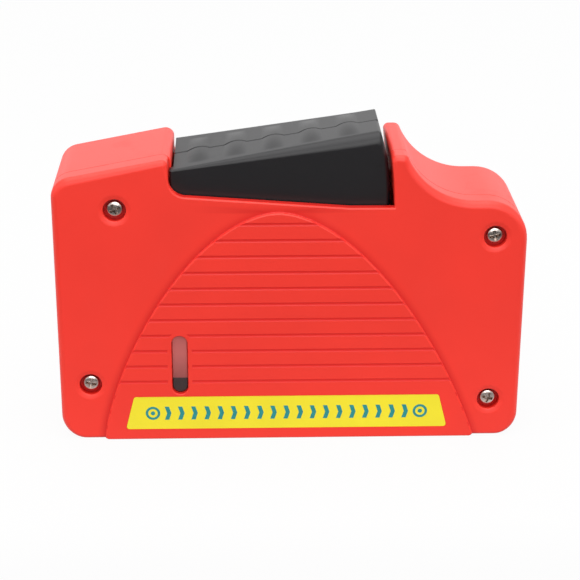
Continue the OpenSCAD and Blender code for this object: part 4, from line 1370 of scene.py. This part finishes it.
class CASSETTE_OT_lever(bpy.types.Operator):
    """Builds the two halves of the press lever with their grip humps"""

    bl_idname = "cassette.lever"
    bl_label = "Press lever"

    def execute(self, context):
        at = Places()
        peg = point_at(*at.link, LINK_REACH, LINK_TURN)
        pin = ([at.pivot], PIVOT_BORE, -FAR_OUT, FAR_OUT)
        front = self.half("lever_grip_front", -1, at.pawl[0] - FRONT_EAR)
        carve(front, *bores(*pin), *bores([at.pawl], PAWL_BORE, at.mid - FAR_OUT, at.mid))
        rear = self.half("lever_grip_rear", 1, peg[0] - REAR_EAR)
        carve(rear, *bores(*pin), *posts([peg], LINK_PEG, at.mid + at.link_in, at.mid + at.lever_in + BITE))
        for piece, node in ((front, "lever_front_half"), (rear, "lever_rear_half")):
            soften(piece, 36)
            finish_piece(piece, plastic("lever_black"), "lever", "lever_black", node)
        return {"FINISHED"}

    def half(self, name, side, ear):
        """One half: a side wall whose top rounding widens to the free end, and a rim strip to the middle."""
        v, at, front = settings().lever, Places(), side < 0
        seam, widest, steps = SEAM_HALF, v.fillet_right, 32
        last = at.lever_out - seam - SEAM_CREASE
        depths = [widest * (1 - math.cos(math.pi / 2 * i / 10)) for i in range(11)] + [v.cheek_depth]
        depths += [widest + (last - widest) * (i + 1) / steps for i in range(steps)]
        corner, tilt, drop = v.corner_radius, v.front_sag, 0.0
        if not front:
            corner, tilt, drop = v.rear_corner, -v.rear_rise, v.rear_drop
        rings = []
        for d in sorted(depths):
            y, sag = at.mid + side * (at.lever_out - d), tilt * (1 - d / at.lever_out)
            if front and d <= v.cheek_depth:
                rings.append((lever_ring(ear, d, corner, v.cheek_step, sag), y))
            if not front or d >= v.cheek_depth:
                rings.append((lever_ring(ear, d, corner, 0.0, sag, drop), y))
        full, mid = np.array(rings[-1][0]), at.mid + side * seam
        rings.append((full - SEAM_CREASE * mitres(full), mid))
        hollow = slab("hollow", lever_hollow(), [(0, at.mid + side * at.lever_in), (0, mid - side * MM)])
        return carve(loft(name, rings, self.humps()), ("cut", hollow))

    def humps(self):
        """A function that lifts points of the lever's top into its grip humps."""
        v, at = settings().lever, Places()
        pitch = (at.reach - v.first_hump - v.last_hump) / (v.hump_count - 1)
        centres = [at.pivot[0] + v.first_hump + pitch * i for i in range(v.hump_count)]
        end, half = lever_corner(v.corner_radius, v.rise, at.reach)[0], at.lever_out - v.hump_side_gap
        wide, tall, slope = v.hump_half_width, v.hump_height, math.tan(v.slope)
        floor = lever_top(at.pivot[0]) - v.front_sag - 0.2 * MM

        def lift(x, y, z):
            across = abs(y - at.mid) / half
            if z < floor + (x - at.pivot[0]) * slope or x > end or across >= 1:
                return x, y, z
            near = [abs(x - centre) / wide for centre in centres if abs(x - centre) < wide]
            swell = max([(1 - a**2) ** 1.15 * (1 - across**2.6) ** 1.3 for a in near], default=0.0)
            return x, y, z + tall * swell

        return lift


class CASSETTE_OT_screws(bpy.types.Operator):
    """Builds the four cross-recess pan-head screws"""

    bl_idname = "cassette.screws"
    bl_label = "Case screws"

    def execute(self, context):
        w, at = settings().screws, Places()
        seat = at.face + w.sink + w.head_height
        screw = self.template(w, seat)
        points = [(x, 0.0, z) for x, z in at.screws]
        piece = spread_template("pan_head_screws", screw, points, w.seed, math.pi / 2, screw_steel())
        soften(piece, 30)
        finish_piece(piece, screw_steel(), "case", "screw_steel", "case_screws")
        return {"FINISHED"}

    def template(self, w, seat):
        """One screw on the Y axis: domed head, cross recess with a cone in its middle, and thread."""
        r, core = w.head / 2, w.head / 2 - w.shank / 2
        top, rim, tip = seat - w.head_height, seat - HEAD_RIM, seat + w.screw_length
        turns = [math.pi / 2 * i / 10 for i in range(11)]
        dome = [(r * math.sin(t), (1 - math.cos(t)) ** 1.15) for t in turns]
        levels = [(r - max(out, 0.02 * MM), top + (rim - top) * down) for out, down in dome]
        levels += [(0, seat), (core, seat)]
        for i in range(THREAD_TURNS):
            y = seat + THREAD_START + THREAD_PITCH * i
            levels += [(core + THREAD_CREST, y), (core, y + THREAD_PITCH * 0.5)]
        levels += [(core + 0.3 * MM, tip - 0.8 * MM), (r - 0.1 * MM, tip)]
        a, b = CROSS_HALF, CROSS_REACH
        quarter = [(a, -b), (a, -a), (b, -a)]
        cross = quarter + [(b, a), (a, a), (a, b), (-a, b), (-a, a), (-b, a), (-b, -a), (-a, -a), (-a, -b)]
        high = top - 0.4 * MM
        recess = slab("cross", cross, [(-0.06 * MM, high), (0, top + 0.1 * MM), (0.2 * MM, top + 1.05 * MM)])
        cone = [(0, high), (0.05 * MM, top + 0.1 * MM), (0.72 * MM, top + 1.2 * MM)]
        cone = slab("cone", circle(0, 0, CONE_RADIUS, 24), cone)
        return carve(slab("screw_template", circle(0, 0, r, 56), levels), ("cut", recess), ("cut", cone))


class CASSETTE_OT_label(bpy.types.Operator):
    """Builds the label film and its plain wiping-direction marks"""

    bl_idname = "cassette.label"
    bl_label = "Label"

    def execute(self, context):
        s, at = settings(), Places()
        p, k = s.panel, s.marks
        top, edge = at.panel_face + FILM_SUNK, FILM_EDGE
        levels = [(0, at.panel_face + p.label_recess)]
        levels += [(0, top + edge), (0.4 * edge, top + edge / 3), (edge, top)]
        film = slab("label_sheet", label_outline(-edge), levels)
        soften(film, 50)
        finish_piece(film, label_film(), "case", "label_film", "label")
        ink = [(0, top + 0.01 * MM), (0, top - 0.012 * MM)]
        through = [(0, ink[0][1] + MM), (0, ink[1][1] - MM)]
        middle, h, t = p.label_low + p.label_height / 2 - 0.05 * MM, k.height / 2, k.stroke
        point, tail, span = h * 0.31, t * 0.6, k.pitch * (k.count - 1)
        chevron = [(-point, -h), (2 * tail - point, -h), (point + tail, 0)]
        chevron += [(2 * tail - point, h), (-point, h), (point - tail, 0)]
        start = -p.label_shift - span / 2
        row = [(start - 0.3 * MM + k.pitch * i, 0.0, middle) for i in range(k.count)]
        marks = [spread_template("chevrons", slab("chevron", chevron, ink), row, 1, 0.0, mark_ink())]
        for x in (start - k.pitch * 1.15, start + span + k.pitch * 1.15):
            hole = slab("ring_hole", circle(x, middle, h - t * 0.7, 48), through)
            marks.append(carve(slab("ring", circle(x, middle, h, 48), ink), ("cut", hole)))
            marks.append(slab("dot", circle(x, middle, t * 0.62, 28), ink))
        marks = join("label_marks", marks)
        soften(marks, 40, weighted=False)
        finish_piece(marks, mark_ink(), "case", "label_film")
        return {"FINISHED"}


class CASSETTE_OT_lens(bpy.types.Operator):
    """Builds the gauge lens with softened edges and its retaining lip"""

    bl_idname = "cassette.lens"
    bl_label = "Gauge lens"

    def execute(self, context):
        p, at = settings().panel, Places()
        fit, lip, edge, thick, back = LENS_FIT, LENS_LIP, LENS_EDGE, LENS_LIP_THICK, at.front_in + 0.01 * MM
        front = rounded(0.25 * MM, at.panel_face + p.lens_sink, 1, 5)
        body = slot_outline(at.window, p.window_width - 2 * fit, p.window_length - 2 * fit)
        wide = slot_outline(at.window, p.window_width + 2 * lip, p.window_length + 2 * lip)
        levels = [(edge, back), (0, back + edge), (0, back + thick), (edge, back + thick + edge)]
        lens = slab("gauge_lens", body, [(0, at.front_in + 0.2 * MM)] + front)
        carve(lens, ("join", slab("lens_lip", wide, levels)))
        soften(lens, 34)
        finish_piece(lens, clear_lens(), "case", "clear_lens", "window_lens")
        return {"FINISHED"}


class CASSETTE_OT_tape(bpy.types.Operator):
    """Builds the wound tape, the running tape and the rubber pad"""

    bl_idname = "cassette.tape"
    bl_label = "Cleaning tape"

    def execute(self, context):
        at = Places()
        for body, place, outer in (("supply", at.supply, SUPPLY_PACK), ("takeup", at.takeup, TAKEUP_PACK)):
            roll = self.roll(f"{body}_roll", place, outer, REEL_HUB)
            soften(roll, 30)
            finish_piece(roll, tape_roll(), body, "tape_cloth", f"{body}_tape")
        self.running()
        self.pad()
        return {"FINISHED"}

    def roll(self, name, place, outer, inner):
        """A wound pack: its faces step in and out by the turns, as real windings do."""
        at, rng = Places(), np.random.default_rng(7)
        turns = int((outer - inner) / WINDING)
        steps = rng.uniform(-0.07, 0.0, (2, turns)) * MM
        insets = [outer - (inner + (outer - inner) * (i + 0.5) / turns) for i in range(turns)]

        def face(side, row):
            y = at.mid + side * at.tape
            levels = [(outer - inner - 0.01 * MM, y)] + [(d, y + side * step) for d, step in zip(insets, row)]
            return levels + [(0.12 * MM, y - side * 0.05 * MM), (0, y - side * 0.15 * MM)]

        piece = slab(name, circle(*place, outer, 96), face(-1, steps[0]) + face(1, steps[1])[::-1])
        return carve(piece, *bores([place], inner, at.mid - 0.01, at.mid + 0.01))

    def running(self):
        """The tape from reel to reel, taut round the two guide pins, with its length and width as UVs."""
        at, low = Places(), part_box("cleaning_tape")[0]
        pin, gap, thick, skin = GUIDE_PIN, GUIDE_GAP, TAPE_THICK, TAPE_SKIN
        height = low.z + thick + gap + pin
        left, right = (-GUIDE_AT, height), (GUIDE_AT, height)

        def contact(a, ra, b, rb, way):
            """Angle at which a taut tape leaves one round and meets the other."""
            away, run = math.dist(a, b), math.degrees(math.atan2(b[1] - a[1], b[0] - a[0]))
            return run - way * math.degrees(math.acos((ra - rb) / away))

        first = contact(at.supply, SUPPLY_PACK, left, pin, 1)
        final = contact(at.takeup, TAKEUP_PACK, right, pin, -1)
        final -= 360 if final > 90 else 0

        def path(out):
            """The tape's line at a height above its inner face."""
            r = pin + gap + out
            start = point_at(*at.supply, SUPPLY_PACK + thick + out, first)
            end = point_at(*at.takeup, TAKEUP_PACK + thick + out, final)
            return [start, *arc(*left, r, first, -90, 12), *arc(*right, r, -90, final, 12), end]

        inner, outer = path(skin), path(thick - skin)
        n, half = len(inner), at.tape - 0.02 * MM
        points = [(x, at.mid + y, z) for y in (-half, half) for x, z in inner + outer]
        faces = [(0, 2 * n, 3 * n, n), (n - 1, 2 * n - 1, 4 * n - 1, 3 * n - 1)]
        for a in range(n - 1):
            b, c, d = n + a, 2 * n + a, 3 * n + a
            faces += [(a, a + 1, c + 1, c), (b, d, d + 1, b + 1), (a, b, b + 1, a + 1), (c, c + 1, d + 1, d)]
        tape = mesh_object("running_tape", points, faces)
        run = np.cumsum([0] + [math.dist(a, b) for a, b in zip(outer, outer[1:])])
        along = {(round(x, 6), round(z, 6)): run[i] for line in (inner, outer) for i, (x, z) in enumerate(line)}
        layer = tape.data.uv_layers.new(name="UVMap")
        for loop in tape.data.loops:
            v = tape.data.vertices[loop.vertex_index].co
            layer.data[loop.index].uv = (along.get((round(v.x, 6), round(v.z, 6)), v.x), v.y - at.mid)
        soften(tape, 40, weighted=False)
        finish_piece(tape, tape_cloth(), "case", "tape_cloth", "cleaning_tape")

    def pad(self):
        """A crowned rubber pad that presses the tape into the slots."""
        low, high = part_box("cleaning_pad")
        middle, half = (low + high) / 2, (high - low) / 2
        nx, ny, points = 24, 16, []
        for side in (-1, 1):
            for i in range(nx + 1):
                for j in range(ny + 1):
                    u, v = 2 * i / nx - 1, 2 * j / ny - 1
                    pull = 1 - 0.012 * (1 - u**8) * (1 - v**8)
                    sink = 0.35 * MM * max(abs(u) ** 10, abs(v) ** 10) + 0.06 * MM * (u * u + v * v)
                    x = middle.x + half.x * u * (1 - 0.015 * (1 - v * v)) * pull
                    y = middle.y + half.y * v * (1 - 0.02 * (1 - u * u)) * pull
                    points.append((x, y, middle.z + side * (half.z - sink)))

        def at(s, i, j):
            return (s * (nx + 1) + i) * (ny + 1) + j

        across, along = range(nx), range(ny)
        cells = [(s, i, j) for s in (0, 1) for i in across for j in along]
        faces = [(at(s, i, j), at(s, i + 1, j), at(s, i + 1, j + 1), at(s, i, j + 1)) for s, i, j in cells]
        faces += [(at(0, i, j), at(0, i + 1, j), at(1, i + 1, j), at(1, i, j)) for i in across for j in (0, ny)]
        faces += [(at(0, i, j), at(0, i, j + 1), at(1, i, j + 1), at(1, i, j)) for j in along for i in (0, nx)]
        pad = mesh_object("tape_pad", points, faces)
        soften(pad, 60, weighted=False)
        finish_piece(pad, plastic("pad_rubber"), "case", "pad_rubber", "cleaning_pad")


class CASSETTE_OT_spring(bpy.types.Operator):
    """Builds the lever's return spring as a smooth wire coil"""

    bl_idname = "cassette.spring"
    bl_label = "Return spring"

    def execute(self, context):
        low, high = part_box("lever_spring")
        wire, middle = SPRING_WIRE, (low + high) / 2
        radius = (high.y - low.y) / 2 - wire
        piece = coil("return_spring", middle, radius, wire, low.z + wire, high.z - wire, SPRING_TURNS)
        soften(piece, 50, weighted=False)
        finish_piece(piece, spring_steel(), "case", "spring_steel", "lever_spring")
        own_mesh(piece)
        return {"FINISHED"}


class CASSETTE_OT_mechanism(bpy.types.Operator):
    """Gives the carried-over inner parts their finishes"""

    bl_idname = "cassette.mechanism"
    bl_label = "Mechanism finishes"

    def execute(self, context):
        pins = ("lever_pin", "pawl_pin", "takeup_axle", "supply_axle")
        pins += ("guide_pin_left", "guide_pin_right", "link_pin")
        finishes = (
            (pin_steel(), pins),
            (spring_steel(), ("supply_brake", "click_spring")),
            (plastic("ivory_plastic"), ("drive_pawl", "ratchet_wheel", "shutter_link")),
            (plastic("white_plastic"), ("takeup_reel", "pad_holder")),
            (plastic("black_plastic"), ("supply_reel", "slot_plate", "shutter")),
        )
        for material, names in finishes:
            for name in names:
                NODES[name].data.materials.clear()
                NODES[name].data.materials.append(material)
        done = {name for _, names in finishes for name in names}
        stood_for = {n for o in bpy.data.objects for n in list(o.get("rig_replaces", []))}
        missing = set(NODES) - done - stood_for
        if missing:
            raise RuntimeError(f"no finish for {sorted(missing)}")
        return {"FINISHED"}


class CASSETTE_OT_stage(bpy.types.Operator):
    """Builds the pale floor, the soft lamps and the camera"""

    bl_idname = "cassette.stage"
    bl_label = "Stage"

    def execute(self, context):
        g = settings().stage
        self.floor()
        self.surround()
        self.lamp("top_lamp", (0.0, -0.05, 0.75), (0.0, 0.0, 0.05), 0.9, g.top_power)
        self.lamp("front_lamp", (0.05, -0.95, 0.5), (0.0, 0.0, 0.04), 0.9, g.front_power)
        self.lamp("left_lamp", (-0.8, -0.3, 0.35), (0.0, 0.0, 0.04), 0.6, g.side_power)
        self.lamp("right_lamp", (0.8, -0.3, 0.35), (0.0, 0.0, 0.04), 0.6, g.side_power)
        self.lamp("back_lamp", (0.0, 1.7, 0.75), (0.0, 0.0, 0.05), 2.4, g.back_power)
        self.camera()
        context.scene.view_settings.view_transform = "Standard"
        return {"FINISHED"}

    def camera(self):
        """The camera, aimed at the cover face from its elevation and yaw, and rolled a little."""
        g, at = settings().stage, Places()
        e, y, r = g.elevation, g.yaw, g.roll
        right = Vector((math.cos(y), math.sin(y), 0))
        forward = Vector((-math.sin(y) * math.cos(e), math.cos(y) * math.cos(e), -math.sin(e)))
        up = right.cross(forward)
        across, upright = math.cos(r) * right + math.sin(r) * up, math.cos(r) * up - math.sin(r) * right
        data = bpy.data.cameras.new("camera")
        data.sensor_width = 36
        data.lens = g.focal_pixels / g.picture * data.sensor_width
        data.clip_start, data.clip_end = 0.01, 20
        camera = place_object("camera", data)
        turned = Matrix((across, upright, -forward)).transposed().to_4x4()
        aim = Vector((g.aim_x, at.face, g.aim_z))
        camera.matrix_world = Matrix.Translation(aim - g.distance * forward) @ turned
        bpy.context.scene.camera = camera

    def lamp(self, name, place, target, size, power):
        """A round area lamp that faces its target."""
        data = bpy.data.lights.new(name, "AREA")
        data.shape, data.size, data.energy = "DISK", size, power
        lamp = place_object(name, data)
        lamp.location = place
        lamp.rotation_mode = "QUATERNION"
        lamp.rotation_quaternion = (Vector(target) - Vector(place)).to_track_quat("-Z", "Y")

    def white_to_camera(self, f):
        """1 for camera and see-through rays, and for mirror rays that meet the floor beside or behind."""
        g, rays = settings().stage, f.add("ShaderNodeLightPath").outputs
        mirrored = Value(f, rays["Is Glossy Ray"]) * f.ramp(f.y, g.mirror_from, g.mirror_from + 0.02)
        seen = f.maths("MAXIMUM", rays["Is Camera Ray"], mirrored)
        return f.maths("MAXIMUM", seen, rays["Is Transmission Ray"])

    def floor(self):
        """A pale matt floor, darker in front of the case, that the camera sees nearly white."""
        g, c, f, reach, low = settings().stage, settings().colours.floor, Finish("floor"), 6, -0.05 * MM
        corners = [(-reach, -reach, low), (reach, -reach, low), (reach, reach, low), (-reach, reach, low)]
        piece = mesh_object("floor", corners, [(0, 1, 2, 3)])
        if piece.data.polygons[0].normal.z < 0:
            piece.data.flip_normals()
        pale = f.tint(f.noise(f.place, 6, 2.0), lit(c, 0.99), lit(c, 1.01))
        base = f.tint(f.ramp(f.y, g.dark_from, g.dark_from + 0.05), lit(c, g.dark_share), pale)
        matt = f.get("ShaderNodeBsdfDiffuse", None, {"Color": base})
        glow = f.get("ShaderNodeEmission", None, {"Color": (1, 1, 1, 1), "Strength": g.glow_strength})
        white = self.white_to_camera(f) * g.glow_share
        mix = f.get("ShaderNodeMixShader", None, {0: white, 1: matt, 2: glow})
        f.add("ShaderNodeOutputMaterial", None, {"Surface": mix})
        piece.data.materials.append(f.material)

    def surround(self):
        """The soft white light from all round."""
        world = bpy.data.worlds.new("studio")
        world.use_nodes = True
        f = Sheet(world.node_tree)
        f.tree.nodes.clear()
        inputs = {"Color": (1, 1, 1, 1), "Strength": settings().stage.world_strength}
        f.add("ShaderNodeOutputWorld", None, {"Surface": f.get("ShaderNodeBackground", None, inputs)})
        bpy.context.scene.world = world


PIECES = (
    CASSETTE_OT_front_cover,
    CASSETTE_OT_rear_shell,
    CASSETTE_OT_lever,
    CASSETTE_OT_screws,
    CASSETTE_OT_lens,
    CASSETTE_OT_label,
    CASSETTE_OT_tape,
    CASSETTE_OT_spring,
    CASSETTE_OT_mechanism,
    CASSETTE_OT_stage,
)


class CASSETTE_PT_panel(bpy.types.Panel):
    """The cassette's builders in the sidebar"""

    bl_idname = "CASSETTE_PT_panel"
    bl_label = "Cleaning cassette"
    bl_space_type = "VIEW_3D"
    bl_region_type = "UI"
    bl_category = "Cassette"

    def draw(self, context):
        for piece in PIECES:
            self.layout.operator(piece.bl_idname)


CLASSES = (
    CaseSizes,
    LeverSizes,
    PanelSizes,
    MarkSizes,
    ScrewSizes,
    Colours,
    StageSettings,
    Cassette,
    *PIECES,
    CASSETTE_PT_panel,
)


def register():
    """Registers the classes and puts the settings on the scene."""
    for item in CLASSES:
        bpy.utils.register_class(item)
    bpy.types.Scene.cassette = PointerProperty(type=Cassette)


def unregister():
    """Takes them off again."""
    del bpy.types.Scene.cassette
    for item in reversed(CLASSES):
        bpy.utils.unregister_class(item)


def main():
    """Builds every piece in order."""
    register()
    for piece in PIECES:
        group, name = piece.bl_idname.split(".")
        getattr(getattr(bpy.ops, group), name)()


if __name__ == "__main__":
    main()
